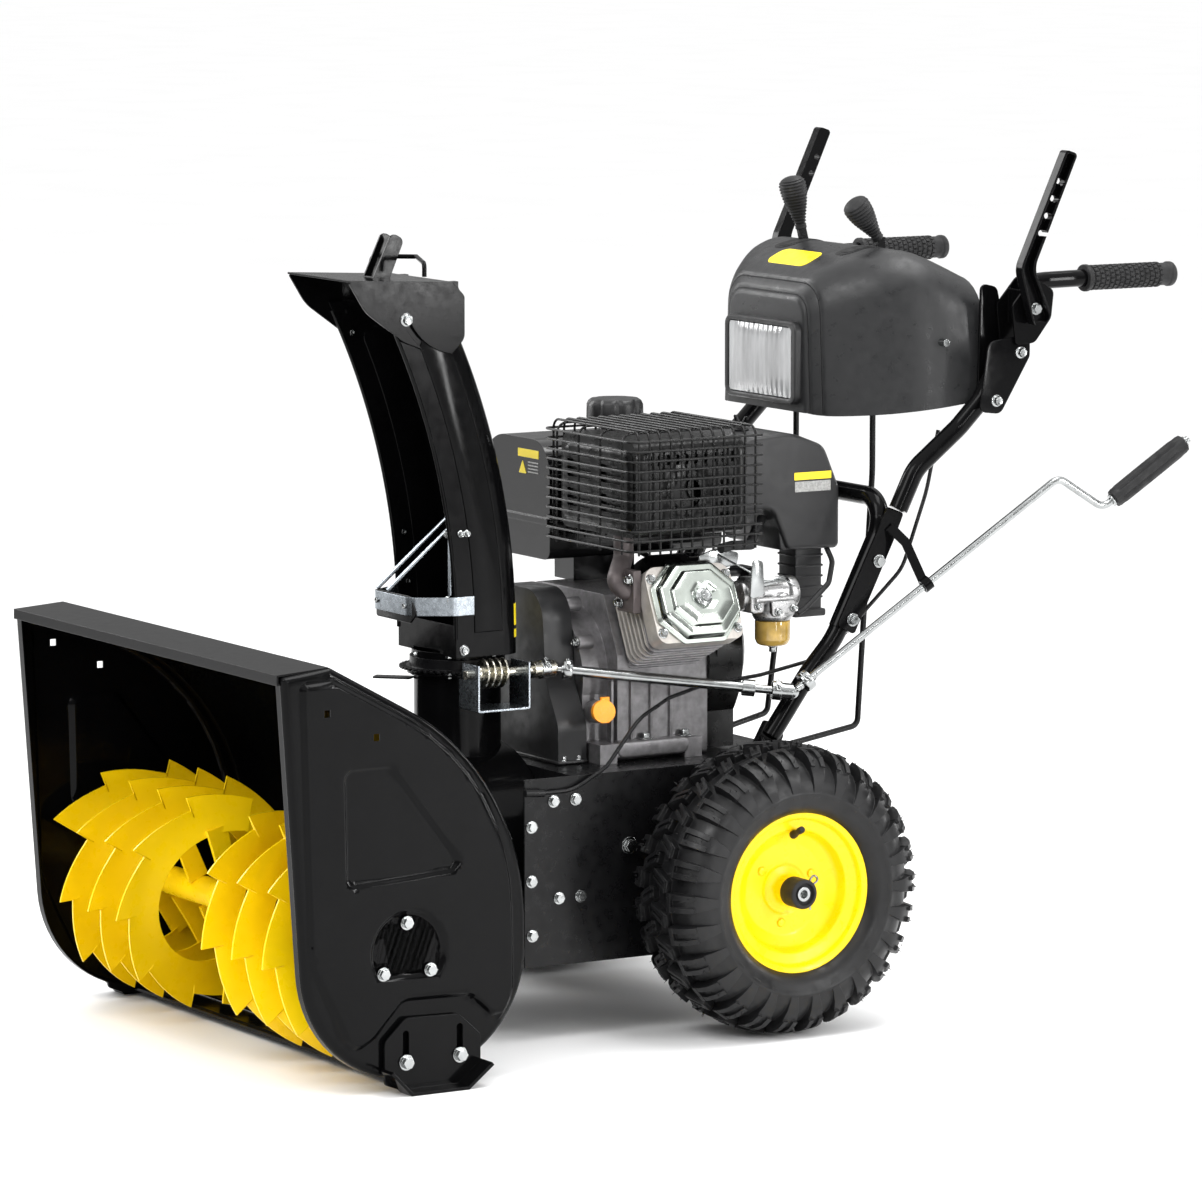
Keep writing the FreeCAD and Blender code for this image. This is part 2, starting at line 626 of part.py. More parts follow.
def worm_bracket():
    """Galvanised bracket on the discharge pipe that holds the worm."""
    low = WORM_Z - 47
    section = [
        (-346, low, 3), (-268, low, 3), (-268, WORM_Z + 14), (-270.5, WORM_Z + 14),
        (-270.5, low + 2.5, 1), (-343.5, low + 2.5, 1), (-343.5, WORM_Z + 14), (-346, WORM_Z + 14)]
    body = plate(in_yz(62, section), (50, 0, 0))
    clear = rod((0, CHUTE_Y, low - 1), (0, CHUTE_Y, WORM_Z + 20), PIPE_R + 0.1)
    sweep = rod((0, CHUTE_Y, RING_Z - 7), (0, CHUTE_Y, WORM_Z + 30), RING_R + 2)
    shaft = rod((WORM_X, -350, WORM_Z), (WORM_X, -260, WORM_Z), 6.0 + RUN)
    web = box((PIPE_R - 6, -330, low), (70, -296, low + 2.5))
    return body.fuse(web).cut([clear, sweep, shaft])


def chute_worm():
    """Worm and its shaft, ending in the cup of the first universal joint."""
    shaft = rod((WORM_X, -352, WORM_Z), (WORM_X, -236, WORM_Z), 6.0)
    core = rod((WORM_X, CHUTE_Y - 22, WORM_Z), (WORM_X, CHUTE_Y + 22, WORM_Z), WORM_CORE_R)
    thread = worm_thread()
    cup = rod((WORM_X, -252, WORM_Z), (WORM_X, -219, WORM_Z), 11.0)
    hollow = Part.makeSphere(8.6, V(*JOINT_ONE))
    mouth = Part.makeCone(7.9, 10.9, 12.0, V(WORM_X, -222, WORM_Z), V(0, 1, 0))
    return Part.makeCompound([shaft.fuse(core).fuse(cup).cut([hollow, mouth]), thread])


def worm_thread():
    """Left-handed thread of the worm, in mesh with the ring's notches at rest."""
    length = 38.0
    helix = Part.makeHelix(WORM_PITCH, length, WORM_R - 3, 0, True)
    root = WORM_CORE_R + 0.02
    section = Part.makePolygon([
        V(root, 0, -1.6), V(WORM_R, 0, -1.1), V(WORM_R, 0, 1.1), V(root, 0, 1.6), V(root, 0, -1.6)])
    sweep = Part.BRepOffsetAPI.MakePipeShell(Part.Wire(helix))
    sweep.setFrenetMode(True)
    sweep.add(section)
    sweep.build()
    sweep.makeSolid()
    thread = sweep.shape()
    start_turn = 180.0 + 360.0 * (length / 2) / WORM_PITCH
    thread.rotate(V(0, 0, 0), V(0, 0, 1), start_turn)
    thread.rotate(V(0, 0, 0), V(1, 0, 0), -90)
    thread.translate(V(WORM_X, CHUTE_Y - length / 2, WORM_Z))
    return thread


def link_rod():
    """Telescoping rod between the two universal joints."""
    ball = Part.makeSphere(8.5, V(*JOINT_ONE))
    neck = rod(JOINT_ONE, toward(JOINT_ONE, JOINT_TWO, 20), 4.0)
    thick = rod(toward(JOINT_ONE, JOINT_TWO, 16), toward(JOINT_ONE, JOINT_TWO, 262), 7.0)
    thin = rod(toward(JOINT_ONE, JOINT_TWO, 260), toward(JOINT_TWO, JOINT_ONE, 20), 5.5)
    bush = rod(toward(JOINT_ONE, JOINT_TWO, 254), toward(JOINT_ONE, JOINT_TWO, 270), 11.0)
    cup = rod(toward(JOINT_TWO, JOINT_ONE, 26), JOINT_TWO, 11.0).cut(Part.makeSphere(8.6, V(*JOINT_TWO)))
    return ball.fuse([neck, thick, thin, bush, cup])


CRANK_THROW = 72.0


def crank_points():
    """Places along the crank: end of its rod, bottom of its arm and both ends of the grip."""
    a = V(*JOINT_TWO)
    top = V(*CRANK_TOP)
    d = (top - a).normalize()
    down = (V(0, 0, -1) + d * d.z).normalize()
    knee = top + d * 22
    foot = top + d * 50 + down * CRANK_THROW
    start = top + d * 68 + down * CRANK_THROW
    end = top + d * 194 + down * CRANK_THROW
    return [tuple(p) for p in (top, knee, foot, start, end)]


def crank_rod():
    """Crank that turns the chute, from the second universal joint to its handle."""
    top, knee, foot, start, end = crank_points()
    base = toward(JOINT_TWO, CRANK_TOP, 12)
    tip = toward(end, start, -6)
    bar = pipe([base, knee + (16,), foot + (16,), tip], 5.0)
    ball = Part.makeSphere(8.5, V(*JOINT_TWO))
    neck = rod(JOINT_TWO, toward(JOINT_TWO, CRANK_TOP, 14), 4.5)
    return bar.fuse([ball, neck])


def crank_grip():
    """Loose grip that turns on the end of the crank."""
    start, end = crank_points()[3:]
    return ring(start, end, 14.0, 5.0 + RUN)


def strip(points, across, width, thickness):
    """Flat strip of sheet that follows points, its width along one direction."""
    half = V(*across).normalize() * (width / 2)
    solid = None
    for start, end in zip(points, points[1:]):
        a = V(*start)
        b = V(*end)
        corners = [a - half, b - half, b + half, a + half, a - half]
        normal = (b - a).cross(half).normalize()
        piece = Part.Face(Part.makePolygon(corners)).extrude(normal * thickness)
        solid = piece if solid is None else solid.fuse(piece)
    return solid


def crank_guide():
    """Strip bracket on the left handle with the eye that carries the crank rod."""
    centre = toward(JOINT_TWO, CRANK_TOP, 231)
    heading = (V(*CRANK_TOP) - V(*JOINT_TWO)).normalize()
    low = V(*centre) - heading * 6
    high = V(*centre) + heading * 6
    eye = ring(tuple(low), tuple(high), 9.5, 6.5)
    rise = (V(-0.45, -0.3, 1.0) - heading * heading.dot(V(-0.45, -0.3, 1.0))).normalize()
    root = V(*centre) + rise * 8.5
    arm = strip([tuple(root), (241, 228, 622), (224, 214, 642)], tuple(heading), 13.0, 2.0)
    return eye.fuse(arm)


# ---------------------------------------------------------------- frame and wheels
def tractor_frame():
    """Steel box under the engine: two sides, top deck, front and rear walls, and a bottom cover."""
    low = (-FRAME_HALF, DRUM_BACK_Y + 1, FRAME_BOTTOM)
    high = (FRAME_HALF, FRAME_REAR_Y, FRAME_TOP)
    wall = FRAME_WALL
    outer = box(low, high)
    inner_high = (high[0] - wall, high[1] - wall, high[2] - wall)
    inner = box((low[0] + wall, low[1] + wall, low[2] + 2), inner_high)
    body = outer.cut(inner)
    wing = box((FRAME_HALF - wall, FRAME_FRONT_Y, FRAME_BOTTOM), (FRAME_HALF, DRUM_BACK_Y + 2, FRAME_TOP))
    body = body.fuse([wing, mirrored(wing)])
    holes = [
        rod((-FRAME_HALF - 5, 0, AXLE_Z), (FRAME_HALF + 5, 0, AXLE_Z), 20.0),
        rod((0, DRUM_BACK_Y - 5, IMPELLER_Z), (0, DRUM_BACK_Y + 8, IMPELLER_Z), 24.0),
        box((-84, -222, FRAME_TOP - 10), (84, -183, FRAME_TOP + 5)),
    ]
    return body.cut(holes)


def frame_bolts():
    """Flange bolts on the left side of the frame."""
    places = [(-313, 282), (-313, 211), (-312, 140), (-272, 186), (-240, 186), (-280, 313), (-247, 313)]
    solids = [hex_bolt((FRAME_HALF, y, z), (1, 0, 0), 6.5, 5.0, 0.0) for y, z in places]
    solids.append(hex_bolt((FRAME_HALF, -166, 246), (1, 0, 0), 9.0, 7.0, 0.0))
    return solids


def drive_axle():
    """Live axle through both wheels, with the click pins that lock the hubs."""
    shaft = rod((-352, 0, AXLE_Z), (352, 0, AXLE_Z), AXLE_R)
    hollow = rod((340, 0, AXLE_Z), (353, 0, AXLE_Z), 5.5)
    shaft = shaft.cut([hollow, mirrored(hollow)])
    return shaft


def wheel_rim():
    """Left wheel: dished steel rim with its hub tube."""
    x = WHEEL_X
    profile = [
        (15, -62), (15, 62), (AXLE_R, 62), (AXLE_R, -62),
    ]
    hub = turned(profile, (x, 0, AXLE_Z), (0, 0, 1), (1, 0, 0))
    barrel_points = [
        (15, 20), (30, 22), (58, 22), (66, 30), (76, 42), (92, 46), (96, 55), (RIM_R, 57), (RIM_R, 54),
        (98, 52), (94, 43), (78, 39), (80, 36), (82, -39), (94, -43), (98, -52), (RIM_R, -54), (RIM_R, -57),
        (96, -55), (92, -46), (79, -42), (79, 30), (69, 27), (60, 19), (30, 19), (15, 17)]
    disc = turned(barrel_points, (x, 0, AXLE_Z), (0, 0, 1), (1, 0, 0))
    pin = rod((x + 50, 0, AXLE_Z - 20), (x + 50, 0, AXLE_Z + 20), 3.0)
    pin = pin.cut(rod((x + 40, 0, AXLE_Z), (x + 60, 0, AXLE_Z), 16.0))
    return hub.fuse(disc).fuse(pin)


def tyre():
    """Left tyre as a plain closed carcass of the tread's full size."""
    half = TYRE_HALF
    profile = [
        (98.1, 51.8), (RIM_R + 2, 53.4), (RIM_R + 6, 62), (128, 72), (150, half), (172, half - 3),
        (185, half - 12),
        (TYRE_R, half - 30), (TYRE_R, -half + 30), (185, -half + 12), (172, -half + 3), (150, -half),
        (128, -72), (RIM_R + 6, -62), (RIM_R + 2, -53.4), (98.1, -51.8), (94.2, -43), (82.1, -39),
        (80.1, 36), (80.1, 39), (94.2, 43)]
    return turned(profile, (WHEEL_X, 0, AXLE_Z), (0, 0, 1), (1, 0, 0))


# ---------------------------------------------------------------- engine
CYLINDER_Y = -68.0
CYLINDER_FROM = 118.0    # cylinder foot from the crankshaft, along the cylinder's axis


def tilted(shape):
    """Turn a shape drawn along +X into the direction of the inclined cylinder."""
    shape.rotate(V(0, 0, CRANK_Z), V(0, 1, 0), -math.degrees(HEAD_TILT))
    return shape


def engine_crankcase():
    """Cast crankcase with its side cover, feet and oil filler neck."""
    block = plate(in_xz(-140, [
        (-118, FRAME_TOP, 6), (118, FRAME_TOP, 6), (118, 560, 40), (-118, 560, 40)]), (0, 138, 0))
    cover = rod((0, CASE_FRONT_Y, CRANK_Z - 8), (0, -139, CRANK_Z - 8), 94.0)
    cover = cover.fuse(box((-92, CASE_FRONT_Y, FRAME_TOP), (92, -139, CRANK_Z - 20)))
    feet = box((-134, -176, FRAME_TOP), (134, -20, FRAME_TOP + 26))
    feet = feet.cut(box((-150, -150, FRAME_TOP - 1), (150, -46, FRAME_TOP + 8)))
    neck = rod((92, -160, 408), (132, -172, 414), 15.0)
    body = block.fuse([cover, feet, neck])
    beyond = tilted(box((CYLINDER_FROM - 0.2, -150, CRANK_Z - 300), (400, 10, CRANK_Z + 300)))
    lower = box((-200, -200, FRAME_TOP - 5), (200, 20, CRANK_Z - 2))
    stub = rod((0, CASE_FRONT_Y - 1, CRANK_Z), (0, CASE_FRONT_Y + 22, CRANK_Z), 14.0 + RUN)
    plug_well = rod((132, -172, 414), (112, -166, 411), 9.0)
    return body.cut([beyond.cut(lower), stub, plug_well])


def engine_pulley():
    """Crankshaft end with the two-groove engine pulley."""
    shaft = rod((0, -220, CRANK_Z), (0, CASE_FRONT_Y + 20, CRANK_Z), 14.0)
    profile = [
        (14, 0), (52, 0), (52, 2), (44, 8), (52, 14), (52, 16), (44, 22), (52, 28), (52, 30), (14, 30)]
    pulley = turned(profile, (0, -215, CRANK_Z), (1, 0, 0), (0, 1, 0))
    return Part.makeCompound([shaft, pulley])


def engine_cylinder():
    """Finned cylinder and its head, inclined from the crankcase."""
    y = CYLINDER_Y
    low = CRANK_Z - 42
    high = CRANK_Z + 54
    core = box((CYLINDER_FROM, y - 46, low + 4), (196, y + 46, high - 10))
    fins = []
    for k in range(7):
        start = CYLINDER_FROM + 6 + 10 * k
        outline = [(y - 62, low, 14), (y + 60, low, 14), (y + 60, high, 14), (y - 62, high, 14)]
        fins.append(plate(in_yz(start, outline), (3.0, 0, 0)))
    head = plate(in_yz(192, [
        (y - 66, low - 2, 14), (y + 64, low - 2, 14), (y + 64, high + 6, 18), (y - 66, high + 6, 18)]),
        (24, 0, 0))
    return tilted(core.fuse(fins + [head]))


def octagon(x, half_y, half_z, corner, grow=0.0):
    """Corners of the valve cover's outline at x."""
    a = half_y + grow
    b = half_z + grow
    y = CYLINDER_Y
    z = CRANK_Z + 8
    return in_yz(x, [
        (y - a + corner, z - b, 6), (y + a - corner, z - b, 6), (y + a, z - b + corner, 6),
        (y + a, z + b - corner, 6), (y + a - corner, z + b, 6), (y - a + corner, z + b, 6),
        (y - a, z + b - corner, 6), (y - a, z - b + corner, 6)])


def valve_cover():
    """Pressed octagonal valve cover with its centre bolt."""
    flange = plate(octagon(216.2, 58, 50, 30, 4), (5, 0, 0))
    low = Part.Wire(Part.__sortEdges__(rounded_edges(octagon(221.2, 58, 50, 30), True)))
    high = Part.Wire(Part.__sortEdges__(rounded_edges(octagon(240, 58, 50, 30, -12), True)))
    dome = Part.makeLoft([low, high], True, True)
    bolt = hex_bolt((240, CYLINDER_Y, CRANK_Z + 8), (1, 0, 0), 8.0, 6.0, 2.0)
    return tilted(flange.fuse([dome, bolt]))


MUFFLER_LOW = (-14.0, -146.0, 642.0)
MUFFLER_HIGH = (174.0, 20.0, 768.0)


def exhaust_pipe():
    """Cast elbow from the head's front port up to the muffler."""
    flange = box((128, -146, 545), (168, -135, 600))
    elbow = pipe([(148, -140, 572), (148, -166, 572, 14), (120, -132, 612, 16), (120, -132, 641.9)], 13.0)
    return elbow.fuse(flange)


def muffler():
    """Pressed muffler box with a round outlet in its left face."""
    low = MUFFLER_LOW
    high = MUFFLER_HIGH
    body = plate(in_xz(low[1], [
        (low[0], low[2], 14), (high[0], low[2], 14), (high[0], high[2], 22), (low[0], high[2], 22)]),
        (0, high[1] - low[1], 0))
    outlet = rod((high[0] - 8, -50, 705), (high[0] + 4, -50, 705), 20.0)
    mouth = rod((high[0] - 6, -50, 705), (high[0] + 6, -50, 705), 15.0)
    return body.fuse(outlet).cut(mouth)


def guard_loop(z, grow, radius):
    """One level wire round the muffler, open at the back."""
    x0 = MUFFLER_LOW[0] - 14 - grow
    x1 = MUFFLER_HIGH[0] + 14 + grow
    y0 = MUFFLER_LOW[1] - 14 - grow
    y1 = MUFFLER_HIGH[1] + 16
    return pipe([(x0, y1, z), (x0, y0, z, 12), (x1, y0, z, 12), (x1, y1, z)], radius)


def muffler_guard():
    """Wire cage round the muffler: level loops outside, upright hoops inside them."""
    wire = 1.6
    solids = []
    levels = 12
    low = MUFFLER_LOW[2] - 14
    high = MUFFLER_HIGH[2] + 2
    for k in range(levels):
        z = low + (high - low) * k / (levels - 1)
        solids.append(guard_loop(z, 2 * wire + 0.1, wire))
    x0 = MUFFLER_LOW[0] - 14
    x1 = MUFFLER_HIGH[0] + 14
    top = MUFFLER_HIGH[2] + 14
    hoops = 12
    for k in range(hoops):
        y = MUFFLER_LOW[1] - 4 + (MUFFLER_HIGH[1] - MUFFLER_LOW[1] + 12) * k / (hoops - 1)
        solids.append(pipe([(x0, y, low - 6), (x0, y, top, 14), (x1, y, top, 14), (x1, y, low - 6)], wire))
    front = MUFFLER_LOW[1] - 14
    bars = 4
    for k in range(bars):
        x = x0 + 26 + (x1 - x0 - 52) * k / (bars - 1)
        deep = top - 2 * wire - 0.1
        line = [(x, front, low - 6), (x, front, deep, 14), (x, MUFFLER_HIGH[1] + 8, deep)]
        solids.append(pipe(line, wire))
    return Part.makeCompound(solids)


def fuel_tank():
    """Fuel tank on the right of the engine, with its filler neck."""
    line = [(-215, 592, 14), (-38, 592, 14), (-38, 750, 46), (-215, 750, 60)]
    body = plate(in_xz(-150, line), (0, 268, 0))
    seam = plate(in_xz(-156, [(-221, 640, 3), (-35, 640, 3), (-35, 648, 3), (-221, 648, 3)]), (0, 280, 0))
    neck = rod((-100, -12, 740), (-100, -12, 766), 22.0)
    feet = box((-110, -100, 560), (-60, -6, 593))
    return body.fuse([seam, neck, feet])


def fuel_cap():
    """Lobed fuel cap."""
    cap = rod((-100, -12, 766.2), (-100, -12, 796), 34.0)
    lobes = []
    for k in range(8):
        turn = math.radians(45 * k)
        x = -100 + 34.0 * math.cos(turn)
        y = -12 + 34.0 * math.sin(turn)
        lobes.append(rod((x, y, 768), (x, y, 796), 5.0))
    return cap.fuse(lobes)


def air_cleaner():
    """Air cleaner cover, its intake snout and the wing nut on top."""
    body = plate(in_xz(36, [(-20, 606, 16), (138, 606, 16), (138, 762, 34), (-20, 762, 34)]), (0, 156, 0))
    snout = box((84, 130, 518), (126, 172, 607))
    nut = rod((60, 86, 762), (60, 86, 776), 8.0).fuse(box((46, 83, 768), (74, 89, 782)))
    return body.fuse([snout, nut])


def carburettor():
    """Carburettor with its sediment bowl and the duct to the air cleaner."""
    barrel = rod((158, 4, 556), (158, 112, 556), 17.0)
    chamber = rod((158, 74, 522), (158, 74, 560), 25.0)
    bowl = rod((158, 74, 496), (158, 74, 522), 23.0).fuse(rod((158, 74, 486), (158, 74, 500), 6.0))
    duct = pipe([(158, 98, 556), (108, 98, 556, 18), (108, 98, 605.8)], 13.0)
    return barrel.fuse([chamber, bowl, duct])


def blower_housing():
    """Fan shroud and recoil starter cover on the back of the engine."""
    shroud = rod((0, -1.8, 470), (0, 50, 470), 124.0)
    shroud = shroud.fuse(box((-100, -1.8, FRAME_TOP + 4), (100, 50, 470)))
    beyond = tilted(box((CYLINDER_FROM - 0.2, -150, CRANK_Z - 100), (400, 10, CRANK_Z + 300)))
    cover = turned([(0, 0), (96, 0), (96, 16), (80, 30), (0, 30)], (0, 50, 470), (1, 0, 0), (0, 1, 0))
    slots = []
    for k in range(12):
        slot = box((40, 76, 467), (72, 82, 473))
        slot.rotate(V(0, 0, 470), V(0, 1, 0), 30 * k)
        slots.append(slot)
    return shroud.cut(beyond).fuse(cover).cut(slots)


def recoil_handle():
    """Pull handle of the recoil starter."""
    bar = plate(in_xz(84, [(36, 566, 5), (84, 566, 5), (84, 580, 5), (36, 580, 5)]), (0, 16, 0))
    stem = rod((60, 66, 573), (60, 86, 573), 6.0)
    return bar.fuse(stem)


def oil_filler_plug():
    """Orange dipstick plug in the oil filler neck."""
    start = (132.2, -172.06, 414.03)
    end = (144.2, -175.66, 415.83)
    head = rod(start, end, 15.0)
    stem = rod(start, (116, -167.2, 411.6), 8.9)
    tab = box((137, -178, 400), (141, -166, 434))
    return head.fuse([stem, tab])


def belt_cover():
    """Plastic cover over the belts between the housing and the engine."""
    line = [
        (-108, FRAME_TOP, 4), (-108, 396, 34), (-76, 452, 40), (-66, 568, 44), (66, 568, 44), (76, 452, 40),
        (108, 396, 34), (108, FRAME_TOP, 4)]
    outer = plate(in_xz(-224, line), (0, 43, 0))
    inside = [
        (-105, FRAME_TOP - 5, 4), (-105, 395, 32), (-73, 451, 38), (-63, 565, 42), (63, 565, 42),
        (73, 451, 38), (105, 395, 32), (105, FRAME_TOP - 5, 4)]
    inner = plate(in_xz(-221, inside), (0, 45, 0))
    return outer.cut(inner)


# ---------------------------------------------------------------- handles and controls
LOWER_TUBE = [
    (198, 45, 373), (200, 104, 454, 200), (202, 141, 495, 120), (205, 210, 632, 120), (202, 214, 678, 34)]
CHANNEL_LOW = (202.3, 148.0, 509.0)
CHANNEL_HIGH = (204.9, 208.0, 628.0)


def lower_handle():
    """Arched lower handle: one tube with flattened feet bolted to the sides of the frame."""
    right = [(-p[0],) + p[1:] for p in reversed(LOWER_TUBE)]
    tube = pipe(LOWER_TUBE + right, TUBE_R)
    foot = plate(in_yz(FRAME_HALF + 0.1, [
        (-12, 256, 12), (20, 256, 12), (44, 325, 60), (66, 374, 4), (40, 396, 4), (8, 340, 60)]), (9, 0, 0))
    return tube.fuse([foot, mirrored(foot)])


def upper_handle():
    """Left upper handle: a channel that wraps the lower tube, then a round tube to the panel."""
    tube = pipe([
        (227, 225, 664), (229, 250, 716, 60), (238, 312, 769, 60), (247, 341, 804, 40),
        (262, 375, 880)], TUBE_R)
    channel = ring(CHANNEL_LOW, CHANNEL_HIGH, TUBE_R + 2.6, TUBE_R + 0.15)
    channel = channel.cut(box((150, 100, 480), (201, 260, 700)))
    web = plate(in_yz(218, [
        (135, 516, 5), (161, 502, 5), (222, 622), (238, 658, 4), (213, 668, 4), (196, 634)]), (3.0, 0, 0))
    joined = channel.fuse([web, tube])
    return joined.cut(both(pipe(LOWER_TUBE, TUBE_R + 0.1)).Solids)


def handle_bolts():
    """Bolts that clamp the left upper handle on the lower one."""
    return [hex_bolt((221, y, z), (1, 0, 0), 7.0, 6.0, 0.0) for y, z in ((158, 522), (199, 597))]


def lever_bracket():
    """Bent steel bracket that joins the handle tube, the grip bar and the clutch lever."""
    line = [(372, 878, 6), (402, 880, 14), (428, 912, 14), (432, 948, 10), (400, 968, 10), (366, 930, 10)]
    outer = plate(in_yz(280, line), (3, 0, 0))
    inner = outer.copy()
    inner.translate(V(-36, 0, 0))
    back = box((247, 384, 906), (280, 388, 950))
    return outer.fuse([inner, back])


def handle_bar():
    """Left grip bar behind the bracket."""
    end = (GRIP_X, GRIP_END_Y - 3, GRIP_Z)
    return pipe([(266, 392, 958), (266, 430, 960, 40), (GRIP_X, 470, GRIP_Z, 60), end], 11.2)


def handle_grip():
    """Left rubber grip."""
    return ring((GRIP_X, 487, GRIP_Z), (GRIP_X, GRIP_END_Y, GRIP_Z), 17.0, 11.2)


def clutch_lever():
    """Left clutch lever: a perforated channel on a pivot above the grip."""
    x = CLUTCH_X + 6
    pivot_y, pivot_z = CLUTCH_PIVOT
    line = [(386, 904, 6), (416, 912, 8), (386, 980, 30), (454, 1128, 5), (436, 1134, 5), (364, 980, 30)]
    web = plate(in_yz(x, line), (3, 0, 0))
    hollow = [(390, 898, 3), (412, 914, 6), (382, 980, 26), (450, 1126, 3), (438, 1130, 3), (368, 980, 26)]
    rim = plate(in_yz(x, line), (14, 0, 0)).cut(plate(in_yz(x - 1, hollow), (20, 0, 0)))
    holes = []
    for share in (0.3, 0.45, 0.6, 0.75):
        y = 385 + (446 - 385) * share
        z = 980 + (1130 - 980) * share
        holes.append(rod((x - 5, y, z), (x + 20, y, z), 4.0))
    boss = ring((x - 6.6, pivot_y, pivot_z), (x, pivot_y, pivot_z), 10.0, 4.0 + RUN)
    body = web.fuse(rim).fuse(boss)
    return body.cut(holes + [rod((x - 8, pivot_y, pivot_z), (x + 20, pivot_y, pivot_z), 4.0 + RUN)])


def lever_pin():
    """Pivot bolt of the left clutch lever."""
    pivot_y, pivot_z = CLUTCH_PIVOT
    shank = rod((283.1, pivot_y, pivot_z), (CLUTCH_X + 9.4, pivot_y, pivot_z), 4.0)
    head = hex_bolt((CLUTCH_X + 9.4, pivot_y, pivot_z), (1, 0, 0), 6.5, 5.0, 0.0)
    return shank.fuse(head)


def panel_section(y, half, low, high, crown):
    """Closed arch-shaped section of the control panel across the machine at y."""
    shoulder = half * 0.92
    edges = rounded_edges([
        (-half, y, low, 8), (half, y, low, 8),
        (shoulder, y, high, crown), (-shoulder, y, high, crown)], True)
    return Part.Wire(Part.__sortEdges__(edges))


def control_panel():
    """Moulded control panel: a hollow hood between the handle tubes, open underneath."""
    wall = 4.0
    sections = [
        (163, 103, 783, 940, 30), (176, 124, 781, 958, 44), (200, 152, 782, 976, 52),
        (240, 190, 786, 992, 60), (290, 220, 793, 996, 70), (360, 236, 803, 962, 60)]
    outer = Part.makeLoft([panel_section(*section) for section in sections], True, True)
    hollow = []
    for y, half, low, high, crown in sections:
        inset_y = y + wall if y < 170 else y
        hollow.append(panel_section(inset_y, half - wall, low - 15, high - wall, crown - wall))
    y, half, low, high, crown = sections[-1]
    hollow.append(panel_section(y + 5, half - wall, low - 15, high - wall, crown - wall))
    inner = Part.makeLoft(hollow, True, True)
    slots = []
    for x in (-LEVER_X, LEVER_X):
        slots.append(box((x - 7, 236, 940), (x + 7, 340, 1020)))
    tube_well = pipe([(238, 312, 769), (247, 341, 804, 40), (262, 375, 880)], TUBE_R + 1.0)
    pivot_y, pivot_z = LEVER_PIVOT
    bar_hole = rod((-240, pivot_y, pivot_z), (240, pivot_y, pivot_z), 5.0)
    return outer.cut([inner] + slots + [tube_well, mirrored(tube_well), bar_hole])


def headlight():
    """Headlight in the panel's front: wide rounded bezel with its lens."""
    bezel = plate(in_xz(153, [(-88, 793, 12), (88, 793, 12), (88, 903, 12), (-88, 903, 12)]), (0, 9.9, 0))
    lens = plate(in_xz(149, [(-74, 801, 8), (74, 801, 8), (74, 895, 8), (-74, 895, 8)]), (0, 6, 0))
    return bezel.fuse(lens)


def panel_lever(x, stem_length, lean_angle, bend, knob_length):
    """Control lever on the panel: flat bar on its pivot, then a knob bent forward from it."""
    pivot_y, pivot_z = LEVER_PIVOT
    top = pivot_z + stem_length
    stem = box((x - 3, pivot_y - 6, pivot_z), (x + 3, pivot_y + 6, top))
    boss = ring((x - 4, pivot_y, pivot_z), (x + 4, pivot_y, pivot_z), 12.0, 5.0 + RUN)
    profile = [
        (0, -4), (6.5, -4), (7, 6), (12, 14), (17, knob_length * 0.55), (18, knob_length * 0.85),
        (13, knob_length), (0, knob_length)]
    knob = turned(profile, (x, pivot_y, top), (1, 0, 0), (0, 0, 1))
    knob.rotate(V(x, pivot_y, top), V(1, 0, 0), bend)
    bore = rod((x - 8, pivot_y, pivot_z), (x + 8, pivot_y, pivot_z), 5.0 + RUN)
    lever = stem.fuse(knob).cut(bore).fuse(boss)
    lever.rotate(V(x, pivot_y, pivot_z), V(1, 0, 0), lean_angle)
    return lever


def lever_pivot_bar():
    """Cross rod inside the panel that both panel levers turn on."""
    y, z = LEVER_PIVOT
    return rod((-228, y, z), (228, y, z), 5.0)


def control_cables():
    """Shift rods and control cables between the panel, the frame and the engine."""
    foot_y = FRAME_REAR_Y + 1.5
    near_rod = pipe([(100, 268, 840), (100, 268, 700, 300), (100, 246, 360, 12), (100, foot_y, 340)], 4.0)
    far_rod = pipe([(-60, 250, 840), (-60, 250, 700, 300), (-60, 205, 360, 12), (-60, foot_y, 340)], 4.0)
    drive_cable = pipe([
        (196, -300, 326), (196, -255, 326, 60), (197, -205, 352, 60), (188, -150, 410, 60),
        (165, -90, 430, 60), (150, -30, 440, 60), (166, 50, 450, 60), (182, 140, 470, 60),
        (182, 262, 579, 60), (182, 300, 680, 200), (182, 318, 760)], 2.6)
    clevis = rod((196, -326, 328), (196, -298, 326), 5.0)
    return Part.makeCompound([near_rod, far_rod, drive_cable.fuse(clevis)])


def drive_belts():
    """V-belt between the engine pulley and the impeller pulley."""
    top = CRANK_Z
    low = IMPELLER_Z
    outer = []
    for grow in (0.0, 7.0):
        upper = rod((0, -210, top), (0, -202, top), 53.0 + grow)
        lower = rod((0, -210, low), (0, -202, low), 89.0 + grow)
        slope = math.asin((89.0 - 53.0) / (top - low))
        reach_up = 53.0 + grow
        reach_low = 89.0 + grow
        span = [
            (reach_up * math.cos(slope), top + reach_up * math.sin(slope)),
            (reach_low * math.cos(slope), low + reach_low * math.sin(slope)),
            (-reach_low * math.cos(slope), low + reach_low * math.sin(slope)),
            (-reach_up * math.cos(slope), top + reach_up * math.sin(slope))]
        outer.append(plate(in_xz(-210, span), (0, 8, 0)).fuse([upper, lower]))
    return outer[1].cut(outer[0])


